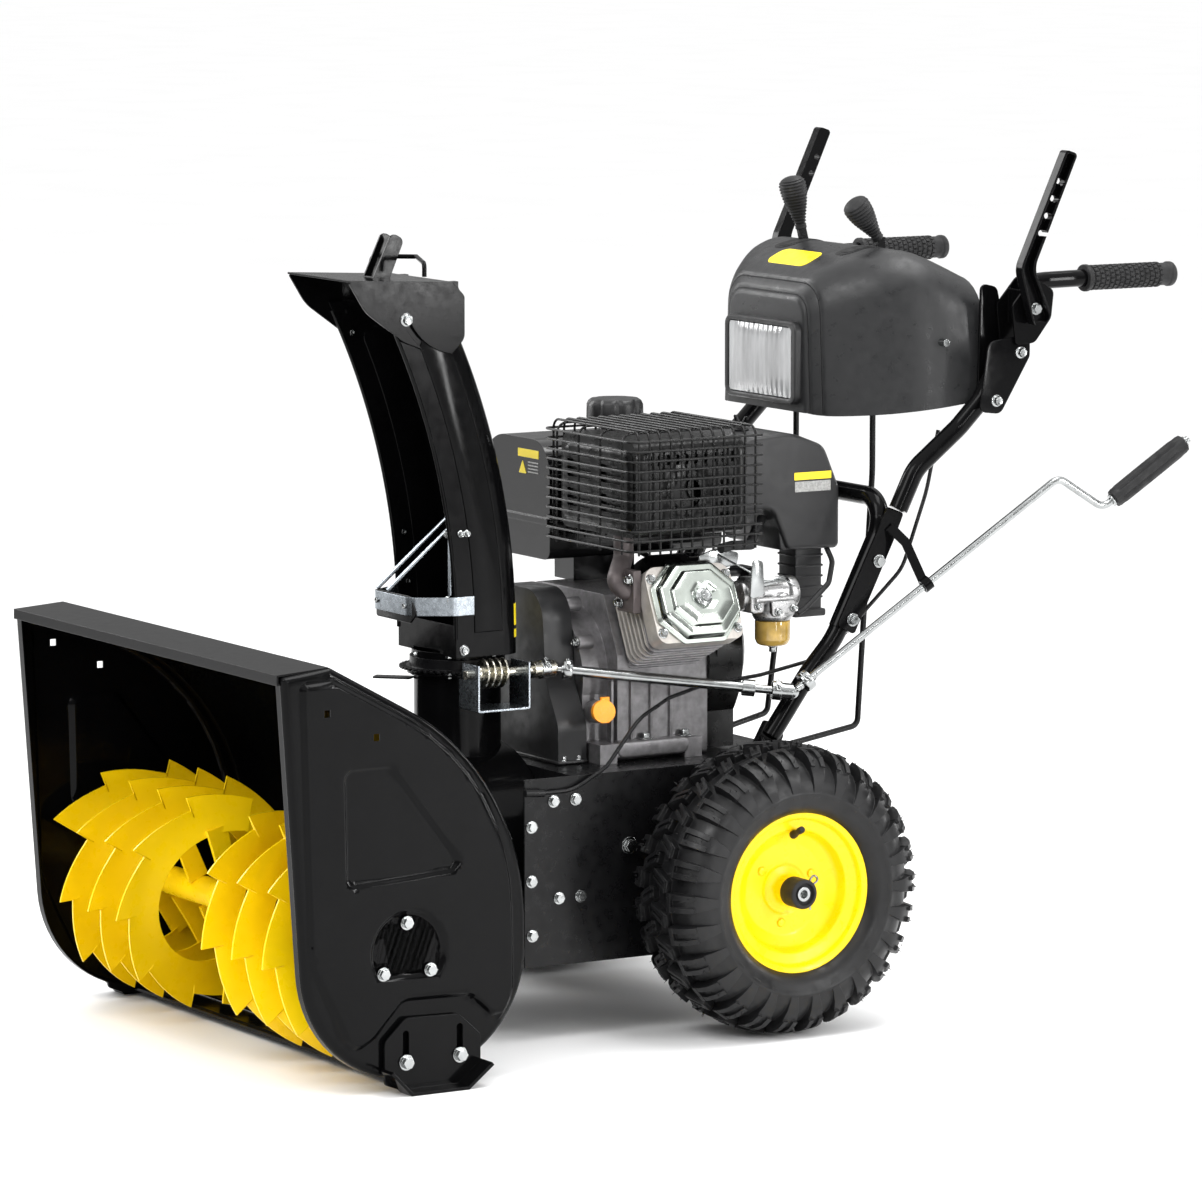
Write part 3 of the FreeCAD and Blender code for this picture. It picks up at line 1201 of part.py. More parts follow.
# ---------------------------------------------------------------- write the parts
def main():
    """Write every sub-part."""
    left_side = side_plate()
    left_auger = auger()
    left_rim = wheel_rim()
    left_tyre = tyre()
    left_skid = skid_shoe()
    left_clutch = clutch_lever()
    left_handle = upper_handle()
    bolts = housing_bolts() + frame_bolts() + handle_bolts() + [lever_pin()]
    write("auger_housing", housing_shell())
    write("housing_side_left", left_side)
    write("housing_side_right", mirrored(left_side))
    write("housing_beam", housing_beam())
    write("scraper_bar", scraper_bar())
    write("impeller_drum", drum())
    write("skid_shoe_left", left_skid)
    write("skid_shoe_right", mirrored(left_skid))
    write("bolts_and_pins", Part.makeCompound([lever_pivot_bar()] + bolts + [mirrored(b) for b in bolts]))
    write("shaft_bearings", shaft_bearings())
    write("auger_left", left_auger)
    write("auger_right", mirrored(left_auger))
    write("auger_shaft", auger_shaft())
    write("auger_gearbox", auger_gearbox())
    write("impeller_shaft", impeller_shaft())
    write("impeller", impeller())
    write("chute_ring", chute_ring())
    write("chute", chute())
    write("chute_guard", chute_guard())
    write("deflector", deflector())
    write("worm_bracket", worm_bracket())
    write("chute_worm", chute_worm())
    write("link_rod", link_rod())
    write("crank_rod", crank_rod())
    write("crank_grip", crank_grip())
    write("crank_guide", crank_guide())
    write("tractor_frame", tractor_frame())
    write("drive_axle", drive_axle())
    write("wheel_rim_left", left_rim)
    write("wheel_rim_right", mirrored(left_rim))
    write("tyre_left", left_tyre)
    write("tyre_right", mirrored(left_tyre))
    write("belt_cover", belt_cover())
    write("drive_belts", drive_belts())
    write("engine_pulley", engine_pulley())
    write("engine_crankcase", engine_crankcase())
    write("engine_cylinder", engine_cylinder())
    write("valve_cover", valve_cover())
    write("exhaust_pipe", exhaust_pipe())
    write("muffler", muffler())
    write("muffler_guard", muffler_guard())
    write("fuel_tank", fuel_tank())
    write("fuel_cap", fuel_cap())
    write("air_cleaner", air_cleaner())
    write("carburettor", carburettor())
    write("blower_housing", blower_housing())
    write("recoil_handle", recoil_handle())
    write("oil_filler_plug", oil_filler_plug())
    write("lower_handle", lower_handle())
    write("upper_handle_left", left_handle)
    write("upper_handle_right", mirrored(left_handle))
    left_bar = [handle_bar(), lever_bracket()]
    write("handle_bars", Part.makeCompound(left_bar + [mirrored(piece) for piece in left_bar]))
    write("handle_grips", both(handle_grip()))
    write("clutch_lever_left", left_clutch)
    write("clutch_lever_right", mirrored(left_clutch))
    write("control_panel", control_panel())
    write("headlight", headlight())
    write("speed_lever", panel_lever(-LEVER_X, 118.0, 14.0, 0.0, 92.0))
    write("deflector_lever", panel_lever(LEVER_X, 124.0, 2.0, 37.0, 72.0))
    write("control_cables", control_cables())


main()
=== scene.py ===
"""Looks of the two stage snowblower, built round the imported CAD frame.

Positions are given as in the CAD source, in millimetres with Y measured from the wheel axle,
and at() turns them into metres in the row frame.
"""

import math

import bmesh
import bpy
import numpy as np
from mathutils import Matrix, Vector, geometry, noise


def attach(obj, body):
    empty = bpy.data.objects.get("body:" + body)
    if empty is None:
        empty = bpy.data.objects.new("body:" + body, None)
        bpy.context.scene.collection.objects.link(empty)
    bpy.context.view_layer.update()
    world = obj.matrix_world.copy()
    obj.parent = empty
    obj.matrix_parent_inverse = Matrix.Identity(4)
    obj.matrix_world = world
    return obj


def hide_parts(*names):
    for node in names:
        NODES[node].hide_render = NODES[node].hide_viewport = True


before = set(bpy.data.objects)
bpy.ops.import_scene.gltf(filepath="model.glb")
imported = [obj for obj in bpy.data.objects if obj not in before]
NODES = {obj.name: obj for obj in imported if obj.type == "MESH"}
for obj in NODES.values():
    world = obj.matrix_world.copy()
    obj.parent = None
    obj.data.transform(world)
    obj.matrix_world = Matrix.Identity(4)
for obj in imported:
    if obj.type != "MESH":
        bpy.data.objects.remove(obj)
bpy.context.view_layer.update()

AXLE_Y = 72.0            # the axle line from the row frame's origin
SQUARE = ((-1, -1), (1, -1), (1, 1), (-1, 1))


def at(x, y, z):
    """A point given in millimetres from the axle line, in metres in the row frame."""
    return Vector((x, y + AXLE_Y, z)) / 1000


# ---------------------------------------------------------------- materials
def new_material(name):
    """An empty node material and its Principled shader."""
    made = bpy.data.materials.new(name)
    made.use_nodes = True
    tree = made.node_tree
    tree.nodes.clear()
    shader = tree.nodes.new("ShaderNodeBsdfPrincipled")
    output = tree.nodes.new("ShaderNodeOutputMaterial")
    tree.links.new(shader.outputs["BSDF"], output.inputs["Surface"])
    return made, tree, shader


def coordinates(tree, scale=1.0, stretch=(1, 1, 1)):
    """Object coordinates, scaled."""
    source = tree.nodes.new("ShaderNodeTexCoord")
    mapping = tree.nodes.new("ShaderNodeMapping")
    mapping.inputs["Scale"].default_value = [scale * s for s in stretch]
    tree.links.new(source.outputs["Object"], mapping.inputs["Vector"])
    return mapping.outputs["Vector"]


def noise_node(tree, scale, detail=3.0, stretch=(1, 1, 1)):
    """Noise of a given frequency in object space."""
    node = tree.nodes.new("ShaderNodeTexNoise")
    node.inputs["Scale"].default_value = 1.0
    node.inputs["Detail"].default_value = detail
    tree.links.new(coordinates(tree, scale, stretch), node.inputs["Vector"])
    return node.outputs["Fac"]


def ramp(tree, value, low, high, start=0.3, end=0.7):
    """Colours blended by a value."""
    node = tree.nodes.new("ShaderNodeValToRGB")
    node.color_ramp.elements[0].position = start
    node.color_ramp.elements[1].position = end
    node.color_ramp.elements[0].color = (*low, 1)
    node.color_ramp.elements[1].color = (*high, 1)
    tree.links.new(value, node.inputs["Fac"])
    return node.outputs["Color"]


def spread(tree, value, low, high):
    """A value mapped from 0.3..0.7 to low..high."""
    node = tree.nodes.new("ShaderNodeMapRange")
    node.inputs["From Min"].default_value = 0.3
    node.inputs["From Max"].default_value = 0.7
    node.inputs["To Min"].default_value = low
    node.inputs["To Max"].default_value = high
    tree.links.new(value, node.inputs["Value"])
    return node.outputs["Result"]


def relief(tree, shader, value, strength, distance, edge):
    """Bump from a value, over edges rounded by a small radius."""
    bump = tree.nodes.new("ShaderNodeBump")
    bump.inputs["Strength"].default_value = strength
    bump.inputs["Distance"].default_value = distance
    tree.links.new(value, bump.inputs["Height"])
    if edge:
        bevel = tree.nodes.new("ShaderNodeBevel")
        bevel.samples = 4
        bevel.inputs["Radius"].default_value = edge
        tree.links.new(bevel.outputs["Normal"], bump.inputs["Normal"])
    tree.links.new(bump.outputs["Normal"], shader.inputs["Normal"])


def finish(name, color, rough, metal=0.0, coat=0.0, vary=0.2, vary_scale=25.0, grain=900.0,
           bump=0.15, depth=0.0002, edge=0.001, rough_vary=0.3, stretch=(1, 1, 1), specular=0.5,
           transmission=0.0):
    """A surface whose colour and gloss vary slightly, with fine grain and softened edges."""
    made, tree, shader = new_material(name)
    low = [c * (1 - vary) for c in color]
    high = [min(1.0, c * (1 + vary)) for c in color]
    broad = noise_node(tree, vary_scale, 4.0, stretch)
    tree.links.new(ramp(tree, broad, low, high), shader.inputs["Base Color"])
    fine = noise_node(tree, vary_scale * 3, 5.0, stretch)
    gloss = spread(tree, fine, rough * (1 - rough_vary), rough * (1 + rough_vary))
    tree.links.new(gloss, shader.inputs["Roughness"])
    shader.inputs["Metallic"].default_value = metal
    shader.inputs["Specular IOR Level"].default_value = specular
    shader.inputs["Transmission Weight"].default_value = transmission
    shader.inputs["Coat Weight"].default_value = coat
    shader.inputs["Coat Roughness"].default_value = 0.06
    relief(tree, shader, noise_node(tree, grain, 2.0), bump, depth, edge)
    return made


MATERIALS = {
    "black_paint": finish("black_paint", (0.002, 0.002, 0.0022), 0.14, grain=350, bump=0.08,
                          specular=0.095),
    "satin_black": finish("satin_black", (0.004, 0.004, 0.0044), 0.32, grain=700, bump=0.15, specular=0.2),
    "yellow_paint": finish("yellow_paint", (0.97, 0.66, 0.002), 0.32, vary=0.03, grain=300, bump=0.08,
                           specular=0.35),
    "zinc": finish("zinc", (0.33, 0.34, 0.34), 0.2, metal=1.0, vary=0.1, vary_scale=60, grain=300,
                   bump=0.03),
    "steel": finish("steel", (0.42, 0.42, 0.42), 0.2, metal=1.0, vary=0.08, grain=900, bump=0.1),
    "brass_zinc": finish("brass_zinc", (0.46, 0.44, 0.38), 0.24, metal=1.0, vary=0.15, vary_scale=80,
                         grain=300, bump=0.04),
    "galvanised": finish("galvanised", (0.33, 0.36, 0.39), 0.28, metal=1.0, vary=0.22, vary_scale=120,
                         grain=300, bump=0.04),
    "rubber": finish("rubber", (0.01, 0.01, 0.0105), 0.6, vary=0.3, grain=1400, bump=0.35, specular=0.3),
    "tyre_rubber": finish("tyre_rubber", (0.006, 0.006, 0.0065), 0.42, vary=0.35, grain=1100, bump=0.35,
                          specular=0.3),
    "plastic": finish("plastic", (0.0135, 0.0135, 0.0142), 0.4, vary=0.1, grain=1600, bump=0.4,
                      depth=0.0003,
                      specular=0.35),
    "gloss_plastic": finish("gloss_plastic", (0.004, 0.004, 0.0045), 0.16, grain=400, bump=0.08,
                            specular=0.4),
    "aluminium": finish("aluminium", (0.2, 0.195, 0.2), 0.42, metal=0.8, vary=0.2, vary_scale=90,
                        grain=1300,
                        bump=0.6, depth=0.0004),
    "cast_iron": finish("cast_iron", (0.1, 0.085, 0.085), 0.55, metal=0.6, vary=0.25, grain=1000, bump=0.6),
    "heat_black": finish("heat_black", (0.0035, 0.0035, 0.0035), 0.3, grain=800, bump=0.2, specular=0.25),
    "sticker_yellow": finish("sticker_yellow", (0.9, 0.7, 0.01), 0.4, vary=0.04, grain=900, bump=0.1),
    "sticker_grey": finish("sticker_grey", (0.3, 0.3, 0.29), 0.45, vary=0.3, vary_scale=400, grain=900),
    "head_cast": finish("head_cast", (0.5, 0.47, 0.44), 0.45, metal=0.6, vary=0.12, vary_scale=70, bump=0.5,
                        depth=0.0003),
    "bright_steel": finish("bright_steel", (0.5, 0.54, 0.5), 0.17, metal=1.0, vary=0.08, vary_scale=40,
                           bump=0.08),
    "bright_cast": finish("bright_cast", (0.36, 0.36, 0.36), 0.32, metal=1.0, vary=0.12, vary_scale=90,
                          bump=0.5),
    "amber": finish("amber", (0.42, 0.27, 0.06), 0.08, coat=0.5, vary=0.3, vary_scale=60, bump=0.05),
    "green_part": finish("green_part", (0.02, 0.5, 0.2), 0.3),
    "blue_part": finish("blue_part", (0.02, 0.08, 0.5), 0.3),
    "panel_plastic": finish("panel_plastic", (0.0165, 0.0168, 0.0175), 0.36, vary=0.04, grain=1600,
                            bump=0.35,
                            depth=0.0003, specular=0.3),
    "clear_lens": finish("clear_lens", (0.3, 0.305, 0.31), 0.14, vary=0.3, vary_scale=60, grain=200,
                         bump=0.02,
                         stretch=(1, 1, 0.15), specular=0.2, transmission=0.2),
    "mirror_silver": finish("mirror_silver", (0.065, 0.067, 0.068), 0.3, metal=1.0, vary=0.03, bump=0.05),
    "lamp_amber": finish("lamp_amber", (0.95, 0.7, 0.15), 0.2, vary=0.1),
    "orange": finish("orange", (1.0, 0.33, 0.002), 0.3, vary=0.06, grain=500, bump=0.1),
}

NODE_MATERIALS = {
    "black_paint": ["auger_housing", "housing_side_left", "housing_side_right", "housing_beam",
                    "impeller_drum",
                    "skid_shoe_left", "skid_shoe_right", "chute", "deflector", "impeller",
                    "auger_gearbox", "lower_handle", "upper_handle_left", "upper_handle_right", "handle_bars",
                    "clutch_lever_left", "clutch_lever_right", "crank_guide", "scraper_bar"],
    "satin_black": ["tractor_frame", "chute_ring", "control_cables"],
    "yellow_paint": ["auger_left", "auger_right", "wheel_rim_left", "wheel_rim_right"],
    "zinc": ["bolts_and_pins", "link_rod", "crank_rod", "drive_axle", "auger_shaft", "shaft_bearings"],
    "steel": ["impeller_shaft", "valve_cover", "engine_pulley"],
    "brass_zinc": ["chute_worm"],
    "galvanised": ["worm_bracket", "chute_guard"],
    "tyre_rubber": ["tyre_left", "tyre_right"],
    "rubber": ["handle_grips", "crank_grip", "drive_belts"],
    "plastic": ["belt_cover", "air_cleaner", "control_panel", "recoil_handle", "speed_lever",
                "deflector_lever",
                "headlight"],
    "gloss_plastic": ["fuel_tank", "fuel_cap"],
    "aluminium": ["engine_crankcase", "carburettor"],
    "head_cast": ["engine_cylinder"],
    "cast_iron": ["exhaust_pipe"],
    "heat_black": ["muffler", "muffler_guard", "blower_housing"],
    "orange": ["oil_filler_plug"],
}


def paint_nodes():
    """Give every CAD node its material."""
    for finish_name, names in NODE_MATERIALS.items():
        for name in names:
            node = NODES[name]
            node.data.materials.clear()
            node.data.materials.append(MATERIALS[finish_name])


# ---------------------------------------------------------------- stage
FLOOR_REACH = 70.0
SKY_STRENGTH = 1.36
SKY = ((0.0, 0.3), (0.03, 0.22), (0.4, 0.3), (0.55, 0.95), (0.85, 1.0))     # (height, brightness)
SOFTBOXES = (
    ("key", (1.2, -3.2, 3.0), (0, 0, 0.5), (1.6, 2.4), 85),
    ("top", (0.5, 0.6, 3.4), (0, 0, 0.4), (2.5, 1.2), 70),
    ("side", (4.2, 2.0, 1.7), (0, 0, 0.5), (0.3, 2.4), 90),
    ("strip", (4.6, -0.6, 1.4), (0, -0.3, 0.4), (0.2, 2.2), 35),
    ("back", (0.6, 4.6, 1.7), (0, 0, 0.4), (0.35, 2.4), 60),
    ("rim", (-3.0, -1.5, 2.2), (0, -0.2, 0.5), (1.0, 2.4), 70))


def floor():
    """Pale floor."""
    made, tree, shader = new_material("floor")
    tint = ramp(tree, noise_node(tree, 3.0), (0.94, 0.94, 0.94), (0.97, 0.97, 0.97))
    tree.links.new(tint, shader.inputs["Base Color"])
    shader.inputs["Roughness"].default_value = 0.55
    data = bpy.data.meshes.new("floor")
    data.from_pydata([(FLOOR_REACH * a, FLOOR_REACH * b, 0) for a, b in SQUARE], [], [(0, 1, 2, 3)])
    ground = bpy.data.objects.new("floor", data)
    bpy.context.scene.collection.objects.link(ground)
    data.materials.append(made)


def sky_light():
    """World that is dark near the horizon and bright overhead."""
    world = bpy.data.worlds.new("studio")
    bpy.context.scene.world = world
    world.use_nodes = True
    background = world.node_tree.nodes["Background"]
    tree = world.node_tree
    direction = tree.nodes.new("ShaderNodeTexCoord")
    parts = tree.nodes.new("ShaderNodeSeparateXYZ")
    tree.links.new(direction.outputs["Generated"], parts.inputs["Vector"])
    sky = tree.nodes.new("ShaderNodeValToRGB")
    steps = sky.color_ramp.elements
    steps[0].position, steps[1].position = SKY[0][0], SKY[-1][0]
    for place, _ in SKY[1:-1]:
        steps.new(place)
    for step, (_, bright) in zip(steps, SKY):
        step.color = (bright, bright, bright, 1)
    tree.links.new(parts.outputs["Z"], sky.inputs["Fac"])
    tree.links.new(sky.outputs["Color"], background.inputs["Color"])
    background.inputs["Strength"].default_value = SKY_STRENGTH


def softboxes():
    """Area lights round the machine."""
    for name, place, target, size, power in SOFTBOXES:
        light = bpy.data.lights.new(name, "AREA")
        light.shape = "RECTANGLE"
        light.size = size[0]
        light.size_y = size[1]
        light.energy = power
        lamp = bpy.data.objects.new(name, light)
        bpy.context.scene.collection.objects.link(lamp)
        lamp.location = place
        aim = Vector(target) - Vector(place)
        lamp.rotation_euler = aim.to_track_quat("-Z", "Y").to_euler()


def camera():
    """Long lens at the product's three-quarter view from its front left."""
    azimuth = math.radians(58.92)
    elevation = math.radians(7.47)
    distance = 8.793
    target = Vector((0.0, -0.0219, 0.539))
    back = Vector((math.sin(azimuth) * math.cos(elevation), -math.cos(azimuth) * math.cos(elevation),
                   math.sin(elevation)))
    data = bpy.data.cameras.new("camera")
    data.sensor_width = 36.0
    data.lens = 199.4
    data.clip_end = 100.0
    made = bpy.data.objects.new("camera", data)
    bpy.context.scene.collection.objects.link(made)
    made.location = target + back * distance
    made.rotation_euler = back.to_track_quat("Z", "Y").to_euler()
    bpy.context.scene.camera = made


# ---------------------------------------------------------------- mesh helpers
def piece(name, points, faces, body, finish_name, stands_for=(), angle=35.0):
    """A mesh from points in metres, riding on a body and standing for some CAD nodes."""
    data = bpy.data.meshes.new(name)
    data.from_pydata([tuple(p) for p in points], [], faces)
    shape = bmesh.new()
    shape.from_mesh(data)
    bmesh.ops.remove_doubles(shape, verts=shape.verts, dist=1e-6)
    bmesh.ops.recalc_face_normals(shape, faces=shape.faces)
    shape.to_mesh(data)
    shape.free()
    data.materials.append(MATERIALS[finish_name])
    data.shade_smooth()
    data.set_sharp_from_angle(angle=math.radians(angle))
    made = bpy.data.objects.new(name, data)
    bpy.context.scene.collection.objects.link(made)
    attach(made, body)
    if stands_for:
        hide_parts(*stands_for)


def spokes(axis, count):
    """Unit vectors that stand at right angles to an axis, evenly round it."""
    unit = Vector(axis).normalized()
    side = unit.orthogonal().normalized()
    other = unit.cross(side)
    turns = [2 * math.pi * k / count for k in range(count)]
    return [side * math.cos(turn) + other * math.sin(turn) for turn in turns]


def grid_faces(rows, columns, first=0):
    """Quads of a grid whose points run along its columns, row by row."""
    corners = [first + i * columns + j for i in range(rows - 1) for j in range(columns - 1)]
    return [(a, a + 1, a + 1 + columns, a + columns) for a in corners]


class Build:
    """Collects points and faces of one piece."""

    def __init__(self):
        self.points = []
        self.faces = []

    def add(self, points, faces):
        first = len(self.points)
        self.points += points
        self.faces += [tuple(first + i for i in face) for face in faces]

    def loft(self, sections, closed=False, capped=True):
        """Join closed sections, each a list of points, into a skin."""
        count = len(sections[0])
        points = [p for section in sections for p in section]
        faces = []
        rows = len(sections)
        for i in range(rows if closed else rows - 1):
            following = (i + 1) % rows
            for j in range(count):
                beside = (j + 1) % count
                faces.append((i * count + j, i * count + beside, following * count + beside,
                              following * count + j))
        if capped and not closed:
            faces.append(tuple(reversed(range(count))))
            faces.append(tuple(range((rows - 1) * count, rows * count)))
        self.add(points, faces)

    def lathe(self, profile, centre, axis, segments=64):
        """Turn a closed profile of (radius, distance along the axis), in mm, about an axis."""
        unit = Vector(axis).normalized()
        sections = []
        for out in spokes(unit, segments):
            sections.append([at(*(Vector(centre) + out * r + unit * d)) for r, d in profile])
        self.loft(sections, closed=True)

    def hex_bolt(self, place, along, size=8.0, head=6.0, flange=True):
        """Flange bolt head with a chamfered hexagon and a dished centre."""
        base = Vector(place)
        unit = Vector(along).normalized()

        def ring(radius, height, hexagon=0.0):
            points = []
            for k, out in enumerate(spokes(unit, 24)):
                sector = (math.pi * k / 12 + math.pi / 6) % (math.pi / 3) - math.pi / 6
                flat = radius * math.cos(math.pi / 6) / math.cos(sector)
                r = radius * (1 - hexagon) + flat * hexagon
                points.append(at(*(base + out * r + unit * height)))
            return points

        sections = []
        lift = 0.0
        if flange:
            sections += [ring(size * 1.25, 0.0), ring(size * 1.25, 0.8), ring(size * 1.02, 1.8)]
            lift = 1.8
        sections += [ring(size * 0.95, lift, hexagon=1.0),
                     ring(size * 0.95, lift + head - 1.2, hexagon=1.0)]
        sections += [ring(size * 0.84, lift + head, hexagon=0.4), ring(size * 0.5, lift + head - 0.2),
                     ring(size * 0.4, lift + head - 1.0)]
        self.loft(sections)

    def tube(self, line, radius, sides=16):
        """Round bar along points in mm, closed at both ends."""
        points = [Vector(p) for p in line]
        count = len(points)
        normal = (points[1] - points[0]).orthogonal().normalized()
        sections = []
        for i, point in enumerate(points):
            ahead = points[min(i + 1, count - 1)] - points[i]
            behind = points[i] - points[max(i - 1, 0)]
            heading = (ahead.normalized() + behind.normalized()).normalized()
            normal = (normal - heading * normal.dot(heading)).normalized()
            other = heading.cross(normal)
            section = []
            for k in range(sides):
                turn = 2 * math.pi * k / sides
                out = normal * math.cos(turn) + other * math.sin(turn)
                section.append(at(*(point + out * radius)))
            sections.append(section)
        self.loft(sections)

    def turned(self, profile, steps, centre, axis, segments):
        """Lathe an open profile whose corners are rounded."""
        self.lathe(rounded(profile, closed=False, steps=steps), centre, axis, segments)

    def pipe(self, line, radius, sides, steps=5):
        """Round bar along a path whose corners are rounded."""
        self.tube(rounded(line, closed=False, steps=steps), radius, sides)

    def mirror(self):
        """The same shape on the other side of the machine."""
        other = Build()
        other.points = [Vector((-p[0], p[1], p[2])) for p in self.points]
        other.faces = [tuple(reversed(face)) for face in self.faces]
        return other

    def make(self, name, body, finish_name, stands_for=(), angle=35.0):
        """The piece in the scene."""
        piece(name, self.points, self.faces, body, finish_name, stands_for, angle)

    def make_pair(self, name, body, finish_name, stands_for=(), angle=35.0):
        """The left piece and its mirror image; {} in the names becomes left or right."""
        for side, build in (("left", self), ("right", self.mirror())):
            nodes = [node.format(side) for node in stands_for]
            build.make(name.format(side), body, finish_name, nodes, angle)


def rounded(points, closed=True, steps=5):
    """Round the corners of an outline given as points (coordinates..., radius)."""
    size = len(points[0]) - 1
    corners = [Vector(p[:size] + (0,) * (3 - size)) for p in points]
    count = len(points)
    line = []
    for i, point in enumerate(points):
        radius = point[size]
        here = corners[i]
        if radius <= 0 or (not closed and i in (0, count - 1)):
            line.append(here)
            continue
        back = (corners[i - 1] - here).normalized()
        ahead = (corners[(i + 1) % count] - here).normalized()
        half = back.angle(ahead) / 2
        middle = here + (back + ahead).normalized() * (radius / math.sin(half))
        start = here + back * (radius / math.tan(half)) - middle
        end = here + ahead * (radius / math.tan(half)) - middle
        sweep = start.angle(end)
        for k in range(steps + 1):
            turn = sweep * k / steps
            line.append(middle + (start * math.sin(sweep - turn) + end * math.sin(turn)) / math.sin(sweep))
    return [tuple(p[:size]) for p in line]


def rect(u0, v0, u1, v1, radius, steps=5):
    """Rectangle with rounded corners."""
    return rounded([(u0, v0, radius), (u1, v0, radius), (u1, v1, radius), (u0, v1, radius)], steps=steps)


# ---------------------------------------------------------------- wheels
TYRE_X = 283.0
WHEEL_Z = 190.5
TYRE_PROFILE = [(0, 177), (22, 176), (38, 173), (51, 168), (61, 161), (68, 152), (72, 142), (73, 131),
                (71.5, 120), (67, 111), (60, 106.5)]
TREAD_R = 175.0
LUG_COUNT = 26


def tyre_point(s):
    """Place and outward normal, as (x, r) pairs, at a distance s along half the tread profile."""
    travelled = 0.0
    for (x0, r0), (x1, r1) in zip(TYRE_PROFILE, TYRE_PROFILE[1:]):
        span = math.hypot(x1 - x0, r1 - r0)
        if s <= travelled + span or (x1, r1) == TYRE_PROFILE[-1]:
            share = (s - travelled) / span
            normal = ((r0 - r1) / span, (x1 - x0) / span)
            return (x0 + (x1 - x0) * share, r0 + (r1 - r0) * share), normal
        travelled += span


def on_tyre(s, height, turn):
    """A point on the tyre: s along the profile, positive outwards, and its height above it."""
    (x, r), (nx, nr) = tyre_point(abs(s))
    across = (x + nx * height) * (1 if s >= 0 else -1)
    radius = r + nr * height
    return at(TYRE_X + across, -radius * math.cos(turn), WHEEL_Z + radius * math.sin(turn))


def lug(build, side, turn, stations):
    """A tread block lofted through stations (s, middle, half width, height), in mm."""
    sections = []
    for s, middle, half, height in stations:
        foot = half + 1.6
        corners = [(-foot, -1.5), (-half, height), (half, height), (foot, -1.5)]
        sections.append([on_tyre(side * s, h, turn + (middle + w) / TREAD_R) for w, h in corners])
    build.loft(sections)


def shoulder_lug(build, side, turn):
    """Block at the edge of the tread: a U on top of a leg that runs down the sidewall."""
    lug(build, side, turn, (
        (30, -2, 10, 7.5), (42, 0, 11, 9.5), (55, 1, 11.5, 9.5), (66, 1, 11, 8), (78, 1, 9.5, 5),
        (90, 1, 7.5, 2.4), (102, 1, 6, 0.3)))
    for shift in (-7.2, 8.4):
        leg = [(s, shift, 3.4, h) for s, h in ((32, 12.6), (43, 13.4), (54, 13.0), (65, 11.0))]
        lug(build, side, turn, leg)
    lug(build, side, turn, [(s, 0.5, 11.2, h) for s, h in ((30, 12.8), (33, 13.0), (37.5, 13.2))])


def centre_lug(build, side, turn):
    """Half of a chevron in the middle of the tread, with a slot in its top."""
    lug(build, side, turn, ((0, 12, 6, 9), (10, 8, 7, 10), (18, 4, 7.5, 10), (26, -1, 7.5, 9)))
    for shift in (-4.6, 4.6):
        ridge = [(s, middle + shift, 2.4, 13.2) for s, middle in ((0.5, 12), (10, 8), (18, 4), (25, -1))]
        lug(build, side, turn, ridge)
    lug(build, side, turn, ((21, 2, 6.2, 13.1), (25.5, -1, 6.2, 13.1)))


def nib(build, side, s, turn, reach, tilt):
    """Moulding whisker left on a tread block."""
    root = on_tyre(side * s, 12.0, turn)
    tip = on_tyre(side * s + tilt, 12.0 + reach, turn + tilt * 0.004)
    axis = (tip - root).normalized()
    out = axis.orthogonal().normalized() * 0.0009
    third = axis.cross(out)
    ring = [root + out, root - out * 0.5 + third * 0.87, root - out * 0.5 - third * 0.87]
    build.add(ring + [tip], [(0, 1, 3), (1, 2, 3), (2, 0, 3), (2, 1, 0)])


def tyre_shape():
    """Left tyre: carcass, tread blocks and whiskers."""
    build = Build()
    profile = [(r, x) for x, r in TYRE_PROFILE]
    ridge = [(134.5, 73.1), (133, 74.2), (130, 74.2), (128.5, 73.1)]
    outer = profile[:7] + ridge + profile[8:]
    inner = [(104.5, 57.5), (103.5, 53.6), (98.4, 51.6)]
    half = outer + inner
    closed = half + [(r, -d) for r, d in reversed(half)][:-1]
    build.lathe(closed, (TYRE_X, 0, WHEEL_Z), (1, 0, 0), 120)
    pitch = 2 * math.pi / LUG_COUNT
    whisker_places = (24, 34, 44, 54, 60)
    for k in range(LUG_COUNT):
        for side in (1, -1):
            turn = pitch * (k + (0.5 if side < 0 else 0.0))
            shoulder_lug(build, side, turn)
            centre_lug(build, side, turn + pitch * 0.45)
            on_ground = math.sin(turn) < -0.93
            for s in whisker_places:
                seed = noise.random_unit_vector()
                if not on_ground:
                    nib(build, side, s, turn + seed.x * 0.05, 5.5 + 2.0 * seed.z, 3.0 * seed.y)
    return build


def rim_shape():
    """Left wheel's dished rim, hub and the axle's bush."""
    build = Build()
    profile = [
        (9.6, 62, 0), (18, 62, 2), (18, 24, 6), (30, 20, 4), (34, 22, 6), (60, 21, 8), (76, 30, 12),
        (81, 44, 5), (95, 46, 4), (97, 56, 4), (104.5, 58.5, 1.5), (105.5, 56, 0.8), (99, 52.5, 3),
        (97, 43, 4), (83, 41, 4),
        (80, 32, 4), (82, -38, 6), (94, -43, 4), (98, -52, 3), (105, -55, 0.8), (104.5, -58, 1.5),
        (96, -56, 4), (92, -46, 5), (78, -42, 6), (76, 22, 8), (60, 17.5, 8), (18, 16, 3), (18, -62, 2),
        (9.6, -62, 0)]
    build.lathe(rounded(profile, steps=4), (TYRE_X, 0, WHEEL_Z), (1, 0, 0), 96)
    for k in range(3):
        turn = 2 * math.pi * k / 3 + 0.4
        y = 44 * math.cos(turn)
        z = WHEEL_Z + 44 * math.sin(turn)
        build.turned([(0, 21, 0), (7, 21, 1.5), (5, 25, 2), (0, 25.5, 0)], 3, (TYRE_X, y, z), (1, 0, 0), 16)
    return build


